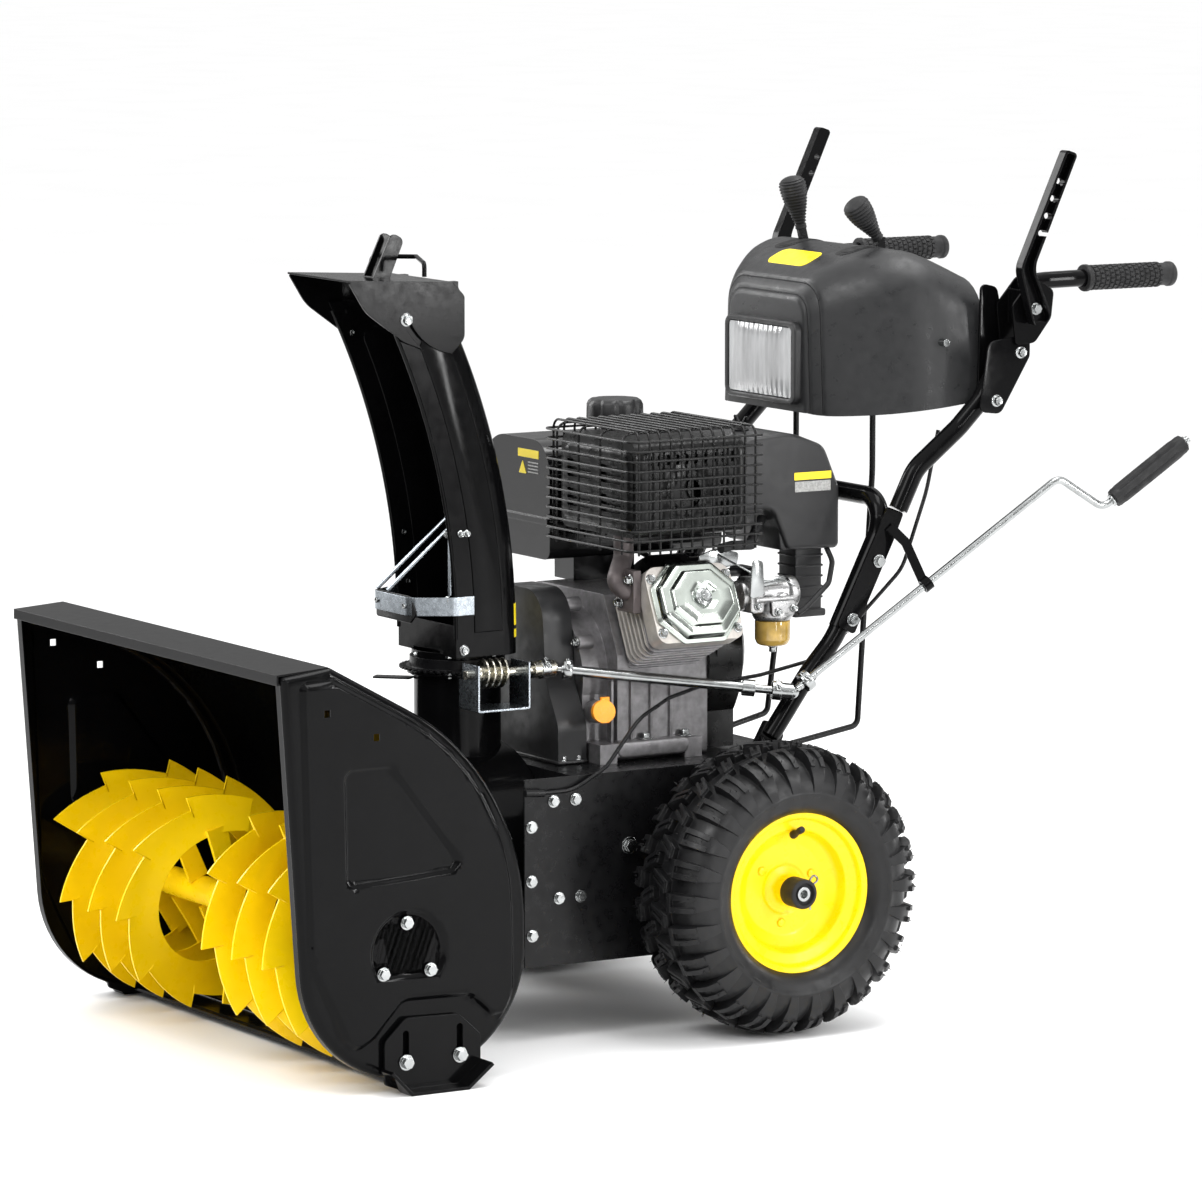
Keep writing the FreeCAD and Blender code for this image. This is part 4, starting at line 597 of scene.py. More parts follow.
def valve_and_pin():
    """Black valve stem, bush and the wire pin that locks the left hub."""
    black = Build()
    bush = [(9.6, 40, 0), (19.5, 40, 2), (19.5, 70, 3), (14.5, 72, 1), (14, 66, 1), (9.6, 66, 0)]
    black.lathe(rounded(bush, steps=3), (TYRE_X, 0, WHEEL_Z), (1, 0, 0), 40)
    root = Vector((TYRE_X + 42, 0, WHEEL_Z + 74))
    tip = Vector((TYRE_X + 66, -3, WHEEL_Z + 84))
    valve = [(0, 0), (5.5, 0), (5.2, 6), (3.6, 14), (3.6, 20), (4.6, 20.5), (4.6, 28), (3.5, 30), (0, 30)]
    black.lathe(valve, root, tip - root, 20)
    wire = Build()
    x = TYRE_X + 52
    wire.pipe([(x, 20, 178, 0), (x + 1, 22, 198, 3), (x + 6, 30, 206, 4), (x + 2, 24, 212, 3),
               (x, 20, 206, 3), (x, 20, 166, 0)], 1.6, 10, 5)
    return black, wire


def wheels():
    """Both wheels."""
    noise.seed_set(7)
    left = tyre_shape()
    left.make_pair("tyre_{}_treaded", "wheels", "tyre_rubber", ["tyre_{}"], 50)
    rim = rim_shape()
    rim.make_pair("rim_{}_dished", "wheels", "yellow_paint", ["wheel_rim_{}"], 40)
    black, wire = valve_and_pin()
    black.make_pair("valve_and_bush_{}", "wheels", "rubber")
    wire.make_pair("hub_pin_{}", "wheels", "zinc")


# ---------------------------------------------------------------- augers
AUGER_Y = -602.0
AUGER_Z = 173.0
AUGER_NEAR = 70.0        # x of a ribbon's inner end
AUGER_LENGTH = 274.0
AUGER_TURNS = 1.69
TOOTH = 36.0             # degrees between the teeth


def auger_point(phase, turn, radius, side):
    """A point of a ribbon: turn in degrees from its inner end, side in mm along the shaft."""
    angle = math.radians(turn + phase)
    x = AUGER_NEAR + AUGER_LENGTH * turn / (360 * AUGER_TURNS) + side
    return at(x, AUGER_Y + radius * math.sin(angle), AUGER_Z - radius * math.cos(angle))


def auger_ribbon(build, phase):
    """Serrated ribbon: each tooth rises slowly and drops at its end."""
    sections = []
    total = 360 * AUGER_TURNS
    lift = (0.0, 2.0, 2.4, 0.0)
    for k in range(int(total / TOOTH) + 1):
        for share in (0.0, 0.1, 0.22, 0.36, 0.5, 0.64, 0.78, 0.9, 0.985):
            turn = TOOTH * (k + share)
            if turn > total:
                break
            shape = list(zip((92, 108, 124, 135.0 + 19.0 * share ** 1.4), lift))
            section = [auger_point(phase, turn, r, -1.7 + q) for r, q in shape]
            section += [auger_point(phase, turn, r, 1.7 + q) for r, q in reversed(shape)]
            sections.append(section)
    build.loft(sections)


def auger_spokes(build, phase):
    """Flat spokes that carry a ribbon."""
    for share in (0.04, 0.35, 0.66, 0.96):
        angle = math.radians(360 * AUGER_TURNS * share + phase)
        out = Vector((0, math.sin(angle), -math.cos(angle)))
        across = Vector((0, math.cos(angle), math.sin(angle)))
        foot = Vector((AUGER_NEAR + AUGER_LENGTH * share, AUGER_Y, AUGER_Z))
        line = []
        for r, half in ((18.5, 14), (60, 13), (100, 15)):
            place = foot + out * r
            line.append([at(*(place + across * (half * a) + Vector((3 * b, 0, 0)))) for a, b in SQUARE])
        build.loft(line)


def auger_shape():
    """Left auger: hub, two serrated ribbons and the flat spokes that carry them."""
    build = Build()
    hub = rounded([(12.7, 62, 0), (19, 62, 2), (19, 352, 2), (12.7, 352, 0)], steps=3)
    build.lathe(hub, (0, AUGER_Y, AUGER_Z), (1, 0, 0), 40)
    for phase in (-10.0, 170.0):
        auger_ribbon(build, phase)
        auger_spokes(build, phase)
    return build


def augers():
    """Both augers."""
    left = auger_shape()
    left.make_pair("auger_{}_serrated", "auger", "yellow_paint", ["auger_{}"], 30)


# ---------------------------------------------------------------- pressed sheets
def edge_distance(points, outline):
    """Distance of each 2-D point from a closed outline, negative outside it."""
    points = np.asarray(points, float).reshape(-1, 2)
    start = np.asarray(outline, float)
    step = np.roll(start, -1, axis=0) - start
    away = points[:, None, :] - start[None, :, :]
    share = (away * step).sum(2) / np.maximum((step * step).sum(1), 1e-12)
    share = np.clip(share, 0, 1)
    gap = away - share[..., None] * step
    nearest = np.sqrt((gap * gap).sum(2)).min(1)
    following = start + step
    y = points[:, 1][:, None]
    crosses = (start[:, 1] > y) != (following[:, 1] > y)
    rise = np.where(np.abs(step[:, 1]) < 1e-12, 1e-12, step[:, 1])
    reach = step[:, 0] * (y - start[:, 1]) / rise + start[:, 0]
    inside = (crosses & (points[:, 0][:, None] < reach)).sum(1) % 2 == 1
    return np.where(inside, nearest, -nearest)


def smooth_step(value, low, high):
    """Soft step from 0 at low to 1 at high."""
    share = np.clip((value - low) / (high - low), 0.0, 1.0)
    return share * share * (3 - 2 * share)


def shrink(outline, amount):
    """Outline moved inwards along its corner normals."""
    count = len(outline)
    area = sum(outline[i - 1][0] * outline[i][1] - outline[i][0] * outline[i - 1][1] for i in range(count))
    turn = 1 if area > 0 else -1
    moved = []
    for i, (x, y) in enumerate(outline):
        x0, y0 = outline[i - 1]
        x1, y1 = outline[(i + 1) % count]
        first = Vector((x - x0, y - y0))
        second = Vector((x1 - x, y1 - y))
        first = first.normalized() if first.length > 1e-6 else second.normalized()
        second = second.normalized() if second.length > 1e-6 else first
        heading = (first + second).normalized()
        reach = amount / max(0.5, heading.dot(first))
        moved.append((x - turn * heading.y * reach, y + turn * heading.x * reach))
    return moved


def sheet_points(outline, holes, lines, spacing):
    """2-D triangulation of an outline with holes; lines are shapes that the mesh follows closely."""
    points = [Vector(p) for p in outline]
    edges = [(i, (i + 1) % len(outline)) for i in range(len(outline))]
    for loop in holes + lines:
        first = len(points)
        points += [Vector(p) for p in loop]
        edges += [(first + i, first + (i + 1) % len(loop)) for i in range(len(loop))]
    low = np.min(outline, axis=0)
    high = np.max(outline, axis=0)
    rows = int((high[1] - low[1]) / spacing)
    columns = int((high[0] - low[0]) / spacing)
    grid = [(low[0] + (i + 0.5 * (j % 2)) * spacing, low[1] + j * spacing)
            for i in range(1, columns + 1) for j in range(1, rows + 1)]
    clear = edge_distance(grid, outline) > spacing * 0.6
    points += [Vector(p) for p, good in zip(grid, clear) if good]
    found, _, faces = geometry.delaunay_2d_cdt(points, edges, [], 0, 1e-5)[:3]
    middles = [np.mean([found[i] for i in face], axis=0) for face in faces]
    keep = edge_distance(middles, outline) > 0
    for hole in holes:
        keep &= edge_distance(middles, hole) < 0
    return np.array([tuple(p) for p in found]), [face for face, good in zip(faces, keep) if good]


def pressed_sheet(outline, holes, lines, spacing, outer, thickness):
    """A sheet whose outer face is outer(points) in mm, with its inner face and edges."""
    found, faces = sheet_points(outline, holes, lines, spacing)
    place = outer(found)
    ahead = outer(found + (0.6, 0)) - outer(found - (0.6, 0))
    beside = outer(found + (0, 0.6)) - outer(found - (0, 0.6))
    normal = np.cross(ahead, beside)
    normal /= np.linalg.norm(normal, axis=1)[:, None]
    top = [at(*p) for p in place]
    low = [at(*p) for p in place - normal * thickness]
    count = len(found)
    sides = {}
    for face in faces:
        for i in range(len(face)):
            edge = (face[i], face[(i + 1) % len(face)])
            if (edge[1], edge[0]) in sides:
                del sides[(edge[1], edge[0])]
            else:
                sides[edge] = True
    build = Build()
    skin = [tuple(face) for face in faces]
    skin += [tuple(reversed([i + count for i in face])) for face in faces]
    skin += [(b, a, a + count, b + count) for a, b in sides]
    build.add(top + low, skin)
    return build


def arc_points(middle, radius, start, end, steps):
    """Points of a circular arc, angles in degrees."""
    line = []
    for k in range(steps + 1):
        turn = math.radians(start + (end - start) * k / steps)
        line.append((middle[0] + radius * math.cos(turn), middle[1] + radius * math.sin(turn)))
    return line


SIDE_OUTLINE = [(-772, 531, 5), (-704, 539, 10), (-426, 387, 322), (-426, 15, 152), (-737, 15, 150)]
SIDE_FIELD = [
    (-747, 520, 8), (-704, 523, 10), (-452, 385, 290), (-448, 100, 60), (-462, 86, 8), (-478, 84, 10),
    (-512, 114, 24), (-606, 116, 24), (-650, 70, 20), (-672, 58, 14), (-690, 72, 20), (-737, 170, 120)]
SIDE_WINDOW = [(-691, 412, 14), (-621, 412, 16), (-523, 285, 10), (-536, 270, 10), (-688, 261, 14)]


def side_plate():
    """Left side plate: rounded rim, raised field, and the pressed-in window and bearing seat."""
    outline = list(reversed(rounded(SIDE_OUTLINE, steps=16)))
    field = rounded(SIDE_FIELD, steps=8)
    window = rounded(SIDE_WINDOW, steps=5)
    seat = arc_points((-600, 176), 54, -38, 218, 24)
    holes = [[(y - 4.5, z - 4.5), (y + 4.5, z - 4.5), (y + 4.5, z + 4.5), (y - 4.5, z + 4.5)] for y,
             z in ((-713, 483.5), (-644, 449))]
    radius = 9.0

    def outer(points):
        edge = edge_distance(points, outline)
        reach = radius - np.clip(edge, 0.0, radius)
        x = 372.0 - radius + np.sqrt(radius * radius - reach * reach)
        x += 6.0 * smooth_step(edge_distance(points, field), -2.5, 4)
        x -= 5.0 * smooth_step(edge_distance(points, window), -1, 6)
        x -= 4.5 * smooth_step(edge_distance(points, seat), -1, 5)
        return np.column_stack([x, points])

    insets = [shrink(outline, amount) for amount in (0.7, 2.2, 4.5, 8.0)]
    relief_lines = [shrink(field, inset) for inset in (-2.5, 0.6, 4)]
    relief_lines += [shrink(window, inset) for inset in (-1, 2.5, 6)]
    relief_lines += [shrink(seat, inset) for inset in (-1, 2, 5)]
    build = pressed_sheet(outline, holes, insets + relief_lines, 6.0, outer, 2.4)
    rim = []
    for x, inset in ((363.2, 0.0), (364.2, 2.4)):
        rim.append([at(x, y, z) for y, z in shrink(outline, inset)])
        if inset == 0.0:
            rim.append([at(352.0, y, z) for y, z in outline])
            rim.append([at(352.0, y, z) for y, z in shrink(outline, 2.4)])
    build.loft(rim, closed=False, capped=False)
    return build


DRUM_Z = 217.0
COLLAR_BACK = -404.0


def shell_back(z):
    """Y of the housing's curved back at a height."""
    if z > 196:
        return -748 + math.sqrt(322 ** 2 - (z - 196) ** 2)
    if z < 167:
        return -574 + math.sqrt(152 ** 2 - (167 - z) ** 2)
    return -426.0


def drum_collar():
    """Flange that joins the impeller drum to the housing's curved back."""
    build = Build()
    sections = []
    for k in range(72):
        turn = 2 * math.pi * k / 72

        def ring(radius, gap=None):
            x, z = radius * math.cos(turn), DRUM_Z + radius * math.sin(turn)
            return at(x, COLLAR_BACK if gap is None else shell_back(z) + gap, z)

        sections.append([ring(151.0, -1.0), ring(151.0), ring(153.5), ring(153.5, 3.5), ring(163.0, 3.0),
                         ring(163.0, 0.4)])
    build.loft(sections, closed=True)
    build.make("drum_collar", "chassis", "black_paint")


def side_plates():
    """Both side plates."""
    left = side_plate()
    left.make_pair("side_plate_{}", "chassis", "black_paint", ["housing_side_{}"], 40)


# ---------------------------------------------------------------- rounded slabs
def slab(build, outline, place, low, high, edge, steps=4):
    """Plate with rounded edges: place(u, v, w) puts outline points in space, w from low to high."""
    sections = []
    for k in range(steps + 1):
        turn = math.pi / 2 * k / steps
        inset = edge * (1 - math.sin(turn))
        sections.append((inset, low + edge * (1 - math.cos(turn))))
    for inset, w in reversed(sections[:]):
        sections.append((inset, high + low - w))
    rings = []
    for inset, w in sections:
        rings.append([at(*place(u, v, w)) for u, v in shrink(outline, inset)])
    build.loft(rings)


def facing_left(u, v, w):
    """Outline (y, z) at x = w."""
    return w, u, v


def facing_back(u, v, w):
    """Outline (x, z) at y = w."""
    return u, w, v


def facing_up(u, v, w):
    """Outline (x, y) at z = w."""
    return u, v, w


# ---------------------------------------------------------------- chute
CHUTE_Y = -313.0
CHUTE_BEND = 930.0
CHUTE_FOOT = 520.0
RING_BOLTS_R = 61.0


def lean(y, z):
    """Y of a chute edge that starts upright at y and leans forward above its foot."""
    rise = max(0.0, z - CHUTE_FOOT)
    return y - CHUTE_BEND + math.sqrt(CHUTE_BEND ** 2 - rise ** 2)


def chute_panels():
    """Raised panels pressed into both cheeks of the chute."""
    heights = [522 + 26 * k for k in range(16)]
    front = [(lean(-331, z), z, 0) for z in heights]
    back = [(lean(-289, z), z, 0) for z in reversed(heights)]
    front[-1] = front[-1][:2] + (14,)
    back[0] = back[0][:2] + (14,)
    build = Build()
    slab(build, rounded(front + back, steps=4), facing_left, 73.0, 77.6, 1.6)
    build.make_pair("chute_panel_{}", "chute", "black_paint")


def chute_lips():
    """Folded lips along the front edges of the chute's cheeks."""
    build = Build()
    line = [(75.2, lean(-358, z), z) for z in range(515, 946, 12)]
    build.tube(line, 2.6, 10)
    build.make_pair("chute_lip_{}", "chute", "black_paint")


def wrapped_band(build, low, high):
    """Patch of a sticker bent round the rear left corner of the chute."""
    columns = []
    for k in range(9):
        turn = math.radians(38 + 52 * k / 8)
        out = Vector((math.cos(turn), math.sin(turn), 0)) * 30.5
        points = []
        for z in (low, high):
            middle = Vector((46.0, lean(-286, z), z))
            points += [at(*(middle + out)), at(*(middle + out * 0.98))]
        columns.append([points[0], points[2], points[3], points[1]])
    last = columns[-1]
    columns.append([p + Vector((-0.07, 0, 0)) for p in last])
    build.loft(columns)


def hazard_stripe():
    """Yellow and black sticker round the rear left corner of the chute."""
    yellow = Build()
    for low, high in ((527, 555), (511, 522)):
        wrapped_band(yellow, low, high)
    yellow.make("hazard_yellow", "chute", "sticker_yellow")
    black = Build()
    wrapped_band(black, 522.1, 526.9)
    black.make("hazard_black", "chute", "rubber")


def chute_hardware():
    """Bolts of the chute's foot, guard and deflector, and the end plate of the guard."""
    zinc = Build()
    for turn in (-150, -95, -40, 20, 80, 140):
        angle = math.radians(turn)
        place = Vector((RING_BOLTS_R * math.cos(angle), CHUTE_Y + RING_BOLTS_R * math.sin(angle), 0))
        zinc.hex_bolt(place + Vector((0, 0, 487)), (0, 0, 1), 5.0, 4.0, flange=False)
        zinc.hex_bolt(place + Vector((0, 0, 467.5)), (0, 0, -1), 5.0, 5.0)
    zinc.hex_bolt((76.0, -346, 500), (1, 0, 0), 6.0, 3.0)
    for y in (-351, -342):
        zinc.hex_bolt((76.2, y, 652), (1, 0, 0), 4.0, 3.4)
    for z in (566, 652):
        zinc.hex_bolt((68, -366, z), (1, 0, 0), 4.6, 4.0)
    for x, y in ((-36, -409), (36, -409)):
        zinc.hex_bolt((x, y, 558), (0, -1, 0), 4.2, 3.4)
    zinc.make("chute_bolts", "chute", "zinc")
    dots = Build()
    for z in (575, 640, 905):
        dots.hex_bolt((-72.8, lean(-344, z), z), (1, 0, 0), 4.2, 2.4, flange=False)
    dots.make("chute_rivets", "chute", "zinc")
    plate = Build()
    outline = rounded([(-46, 536, 4), (44, 536, 4), (60, 549, 4), (44, 571, 4), (-46, 571, 4)], steps=4)
    slab(plate, outline, facing_back, -408.0, -405.6, 0.8)
    plate.make("guard_plate", "chute", "satin_black")
    stop = Build()
    line = rounded([(-72, -394, 3), (-58, -408, 3), (-22, -372, 3), (-36, -356, 3)], steps=3)
    slab(stop, line, facing_up, 452.0, 454.5, 0.8)
    stop.make("pipe_tab", "chassis", "satin_black")


def deflector_bolts():
    """Zinc pivot bolts of the hood."""
    build = Build()
    build.hex_bolt((81.2, -433, 933), (1, 0, 0), 7.0, 5.0)
    build.make_pair("deflector_bolts_{}", "chute", "zinc")


def chute_parts():
    """Everything added to the chute."""
    chute_panels()
    chute_lips()
    hazard_stripe()
    chute_hardware()
    deflector_bolts()


# ---------------------------------------------------------------- engine
CRANK_Z = 458.0
CYLINDER_Y = -68.0
HEAD_TILT = math.radians(25.0)


def tilted(x, y, z):
    """A point of the inclined cylinder, drawn level, brought to its real place."""
    up = z - CRANK_Z
    return (x * math.cos(HEAD_TILT) - up * math.sin(HEAD_TILT), y,
            CRANK_Z + x * math.sin(HEAD_TILT) + up * math.cos(HEAD_TILT))


def octagon_ring(half_y, half_z, corner, radius, x):
    """Rounded octagon of the valve cover at a distance x along the cylinder."""
    y, z = CYLINDER_Y, CRANK_Z + 8
    a, b = half_y, half_z
    corners = [(-a + corner, -b), (a - corner, -b), (a, -b + corner), (a, b - corner), (a - corner, b),
               (-a + corner, b), (-a, b - corner), (-a, -b + corner)]
    line = rounded([(y + p, z + q, radius) for p, q in corners], steps=5)
    return [at(*tilted(x, p, q)) for p, q in line]


def valve_cover():
    """Pressed valve cover: flange, skirt, gutter, raised octagon and the sunk middle with its bolt."""
    build = Build()
    rows = [
        (62, 54, 32, 10, 216.4), (63, 55, 32, 10, 217.4), (63, 55, 32, 10, 219.4), (61, 53, 31, 10, 221),
        (58.5, 50.5, 30, 9, 222.5), (57.5, 49.5, 30, 9, 230), (56, 48, 29, 9, 233.5),
        (53, 45, 28, 8, 235.4), (48, 40, 26, 8, 235.8), (46.5, 38.5, 25, 7, 236.2),
        (45, 37, 25, 6, 240), (43.5, 35.5, 24, 6, 242),
        (41, 33, 22, 5, 243), (31, 25, 17, 5, 244.4), (22, 20, 12, 5, 244.8), (17, 16, 9.5, 4.5, 243.8),
        (14.5, 13.5, 8, 4, 241.2), (12, 11, 6.5, 3.5, 240.4)]
    build.loft([octagon_ring(*row) for row in rows])
    build.make("valve_cover_pressed", "chassis", "bright_steel", ["valve_cover"], 40)
    bolt = Build()
    start = Vector(tilted(240.0, CYLINDER_Y, CRANK_Z + 8))
    ahead = Vector(tilted(250.0, CYLINDER_Y, CRANK_Z + 8)) - start
    washer = [(0, 0, 0), (12, 0, 0.5), (12, 2.2, 0.8), (9, 2.6, 0.5), (0, 2.6, 0)]
    bolt.turned(washer, 2, start, ahead, 32)
    bolt.hex_bolt(start + ahead * 0.24, ahead, 8.0, 5.0)
    bolt.make("valve_cover_bolt", "chassis", "zinc")


FAN_MIDDLE = (-72, 698)      # middle (y, z) of the round opening in the muffler's left shield


def shield_left():
    """Heat shield on the muffler's left face: a row of slots, a grid of holes and a ringed opening."""
    outline = rounded([(-142, 648, 14), (16, 648, 14), (16, 762, 20), (-142, 762, 20)], steps=5)
    slots = [rect(-131.2 + 14.0 * k, 736, -124.8 + 14.0 * k, 750, 3, 3) for k in range(10)]
    for y in (-18, -9, 0):
        for z in (668, 682, 696, 710):
            slots.append(rect(y - 3, z - 3.6, y + 3, z + 3.6, 2.8, 2))
    circles = [arc_points(FAN_MIDDLE, radius, 0, 360, 32)[:-1] for radius in (21, 33, 38)]

    def face(points):
        edge = edge_distance(points, outline)
        middle = np.hypot(points[:, 0] - FAN_MIDDLE[0], points[:, 1] - FAN_MIDDLE[1])
        x = 175.0 + 3.4 * smooth_step(edge, 0, 6) + 2.2 * smooth_step(-middle, -37, -33)
        return np.column_stack([x, points])

    traces = [shrink(outline, 3), shrink(outline, 6)] + circles[1:]
    build = pressed_sheet(outline, slots + circles[:1], traces, 9.0, face, 1.4)
    for y, z in arc_points(FAN_MIDDLE, 28, 0, 360, 8)[:-1]:
        build.hex_bolt((180.4, y, z), (1, 0, 0), 2.6, 1.6, flange=False)
    build.make("muffler_shield_left", "chassis", "heat_black", (), 40)


def shield_front():
    """Heat shield on the muffler's front face, with two columns of slots."""
    outline = rounded([(-8, 650, 12), (168, 650, 12), (168, 756, 20), (-8, 756, 20)], steps=5)
    slots = []
    for x in (8, 92):
        for k in range(9):
            z = 664 + 9.6 * k
            slots.append(rect(x, z - 2.2, x + 60, z + 2.2, 2, 2))

    def face(points):
        y = -147.0 - 3.4 * smooth_step(edge_distance(points, outline), 0, 6)
        return np.column_stack([points[:, 0], y, points[:, 1]])

    build = pressed_sheet(outline, slots, [shrink(outline, 3), shrink(outline, 6)], 9.0, face, 1.4)
    build.make("muffler_shield_front", "chassis", "heat_black", (), 40)


def air_cleaner():
    """Air cleaner cover with its stepped lower edge, snout and wing nut."""
    outline = rounded([(36, 664, 8), (88, 664, 18), (112, 608, 10), (192, 606, 8), (192, 688, 14),
                       (168, 744, 26), (118, 763, 60), (36, 758, 22)], steps=6)
    build = Build()
    slab(build, outline, facing_left, -20.0, 138.0, 6.0, 5)
    lower = rounded([(104, 607, 4), (190, 607, 4), (190, 648, 4), (98, 648, 4)], steps=3)
    slab(build, lower, facing_left, 60.0, 131.0, 3.0)
    snout = rounded([(130, 520, 5), (172, 520, 5), (172, 612, 4), (130, 612, 4)], steps=4)
    slab(build, snout, facing_left, 84.0, 126.0, 3.0)
    slab(build, rect(126, 516, 176, 526, 3, 3), facing_left, 80.0, 130.0, 2.0)
    for k in range(5):
        z = 540 + 14 * k
        slab(build, rect(129, z, 173, z + 3, 1, 2), facing_left, 83.0, 127.0, 0.8, 2)
    build.make("air_cleaner_cover", "chassis", "plastic", ["air_cleaner"])
    nut = Build()
    nut.lathe([(0, 0), (11, 0), (11, 2), (7, 3), (6, 11), (0, 12)], (60, 86, 761), (0, 0, 1), 24)
    for side in (-1, 1):
        wing = rounded([(60 + side * 3, 764, 1), (60 + side * 8, 764, 3), (60 + side * 17, 778, 4),
                        (60 + side * 12, 783, 4), (60 + side * 3, 772, 2)], steps=3)
        slab(nut, wing, facing_back, 84.4, 87.6, 0.8, 2)
    nut.make("wing_nut", "chassis", "satin_black")


def facing_front(u, v, w):
    """Outline (x, z) at y = -w."""
    return u, -w, v


def sticker(name, outline, place, level, color):
    """Thin sticker that stands out 0.5 mm from level."""
    build = Build()
    slab(build, outline, place, level, level + 0.5, 0.2, 1)
    build.make(name, "chassis", color)


def engine_stickers():
    """Plain stickers on the air cleaner and the fuel tank, with bars in place of words."""
    sticker("cleaner_label_top", rect(120, 700, 178, 710, 1, 3), facing_left, 137.9, "sticker_yellow")
    sticker("cleaner_label_low", rect(121, 684, 177, 698, 1, 3), facing_left, 137.9, "sticker_grey")
    sticker("tank_label_top", rect(-120, 724, -66, 735, 1, 3), facing_front, 150.0, "sticker_yellow")
    triangle = rounded([(-118, 702, 1), (-98, 702, 1), (-108, 720, 1)], steps=3)
    sticker("tank_label_mark", triangle, facing_front, 150.0, "sticker_yellow")
    for k in range(4):
        z = 704 + 4.4 * k
        bar = rect(-94, z, -67, z + 1.8, 0.4, 3)
        sticker(f"tank_label_bar_{k}", bar, facing_front, 150.0, "sticker_grey")


def carburettor_casting():
    """Throat, float chamber, flange, choke shaft and lever of the carburettor."""
    cast = Build()
    throat = [(0, -12, 0), (20, -12, 2), (20, 6, 2), (17, 8, 2), (17, 60, 2), (22, 62, 2), (22, 74, 2),
              (0, 74, 0)]
    cast.turned(throat, 3, (158, 30, 556), (0, 1, 0), 40)
    chamber = [(0, 0, 0), (24, 0, 3), (27, 6, 1), (27, 11, 1), (24, 13, 2), (23, 30, 4), (15, 40, 5),
               (0, 42, 0)]
    cast.turned(chamber, 3, (158, 74, 521), (0, 0, 1), 40)
    slab(cast, rect(24, 534, 46, 580, 6, 4), facing_left, 146.0, 184.0, 3.0)
    cast.lathe([(0, 0), (5, 0), (5, 4), (3.4, 5), (3.4, 58), (0, 58)], (184, 30, 552), (0, 1, 0), 16)
    lever = rounded([(58, 528, 4), (92, 528, 4), (96, 546, 5), (78, 560, 5), (56, 550, 4)], steps=3)
    slab(cast, lever, facing_left, 176.0, 184.0, 2.0)
    cast.make("carburettor_casting", "chassis", "bright_cast", ["carburettor"], 40)


def carburettor_bolts():
    """Screws, choke link and its wire on the carburettor."""
    zinc = Build()
    for y, z in ((66, 534), (90, 538), (34, 544), (34, 572)):
        zinc.hex_bolt((184.5, y, z), (1, 0, 0), 4.4, 3.6)
    zinc.hex_bolt((158, 74, 486), (0, 0, -1), 5.0, 6.0)
    link = rounded([(40, 566, 3), (84, 572, 3), (86, 580, 3), (40, 578, 3)], steps=3)
    slab(zinc, link, facing_left, 170.0, 172.0, 0.6, 2)
    zinc.pipe([(190, 20, 590, 0), (186, 44, 574, 8), (180, 78, 576, 6), (176, 96, 566, 0)], 1.3, 8)
    zinc.make("carburettor_bolts", "chassis", "zinc")


def sediment_bowl():
    """Amber sediment bowl with its float and tube."""
    bowl = Build()
    cup = [(0, 0, 0), (20, 0, 6), (23.5, 8, 3), (23.5, 33, 1), (21, 33, 0), (21, 10, 3), (18, 3, 4),
           (0, 3, 0)]
    bowl.turned(cup, 4, (158, 74, 487.5), (0, 0, 1), 40)
    bowl.make("sediment_bowl", "chassis", "amber", (), 40)
    float_piece = Build()
    float_piece.lathe([(0, 0), (5, 0), (5, 14), (0, 16)], (166, 66, 496), (0, 0, 1), 16)
    float_piece.make("bowl_float", "chassis", "green_part")
    tube = Build()
    tube.lathe([(0, 0), (3, 0), (3, 26), (0, 26)], (170, 78, 492), (0, 0, 1), 16)
    tube.make("bowl_tube", "chassis", "blue_part")


def hoses():
    """Fuel and breather hoses, and the governor link, between the engine's parts."""
    build = Build()
    build.pipe([(120, 176, 618, 0), (142, 178, 590, 20), (176, 150, 566, 20), (182, 112, 538, 16),
                (182, 98, 530, 0)], 3.6, 12, 8)
    build.pipe([(186, -24, 624, 0), (180, -4, 626, 14), (160, 40, 622, 24), (112, 70, 622, 20),
                (104, 92, 650, 0)], 6.5, 14, 8)
    build.pipe([(-70, -2, 596, 0), (20, 40, 560, 30), (120, 96, 520, 20), (150, 84, 516, 0)], 3.6, 12, 8)
    build.make("engine_hoses", "chassis", "rubber")
    steel = Build()
    steel.pipe([(118, -30, 606, 0), (150, -8, 612, 6), (176, 6, 600, 6), (190, 20, 590, 0)], 1.4, 8)
    slab(steel, rounded([(-36, 588, 4), (22, 596, 5), (26, 612, 5), (-10, 620, 6), (-36, 612, 4)], steps=3),
         facing_left, 150.0, 152.0, 0.6, 2)
    slab(steel, rounded([(14, 556, 4), (36, 560, 5), (34, 604, 5), (18, 610, 6)], steps=3), facing_left,
         196.0, 198.0, 0.6, 2)
    steel.make("governor_plate", "chassis", "zinc")


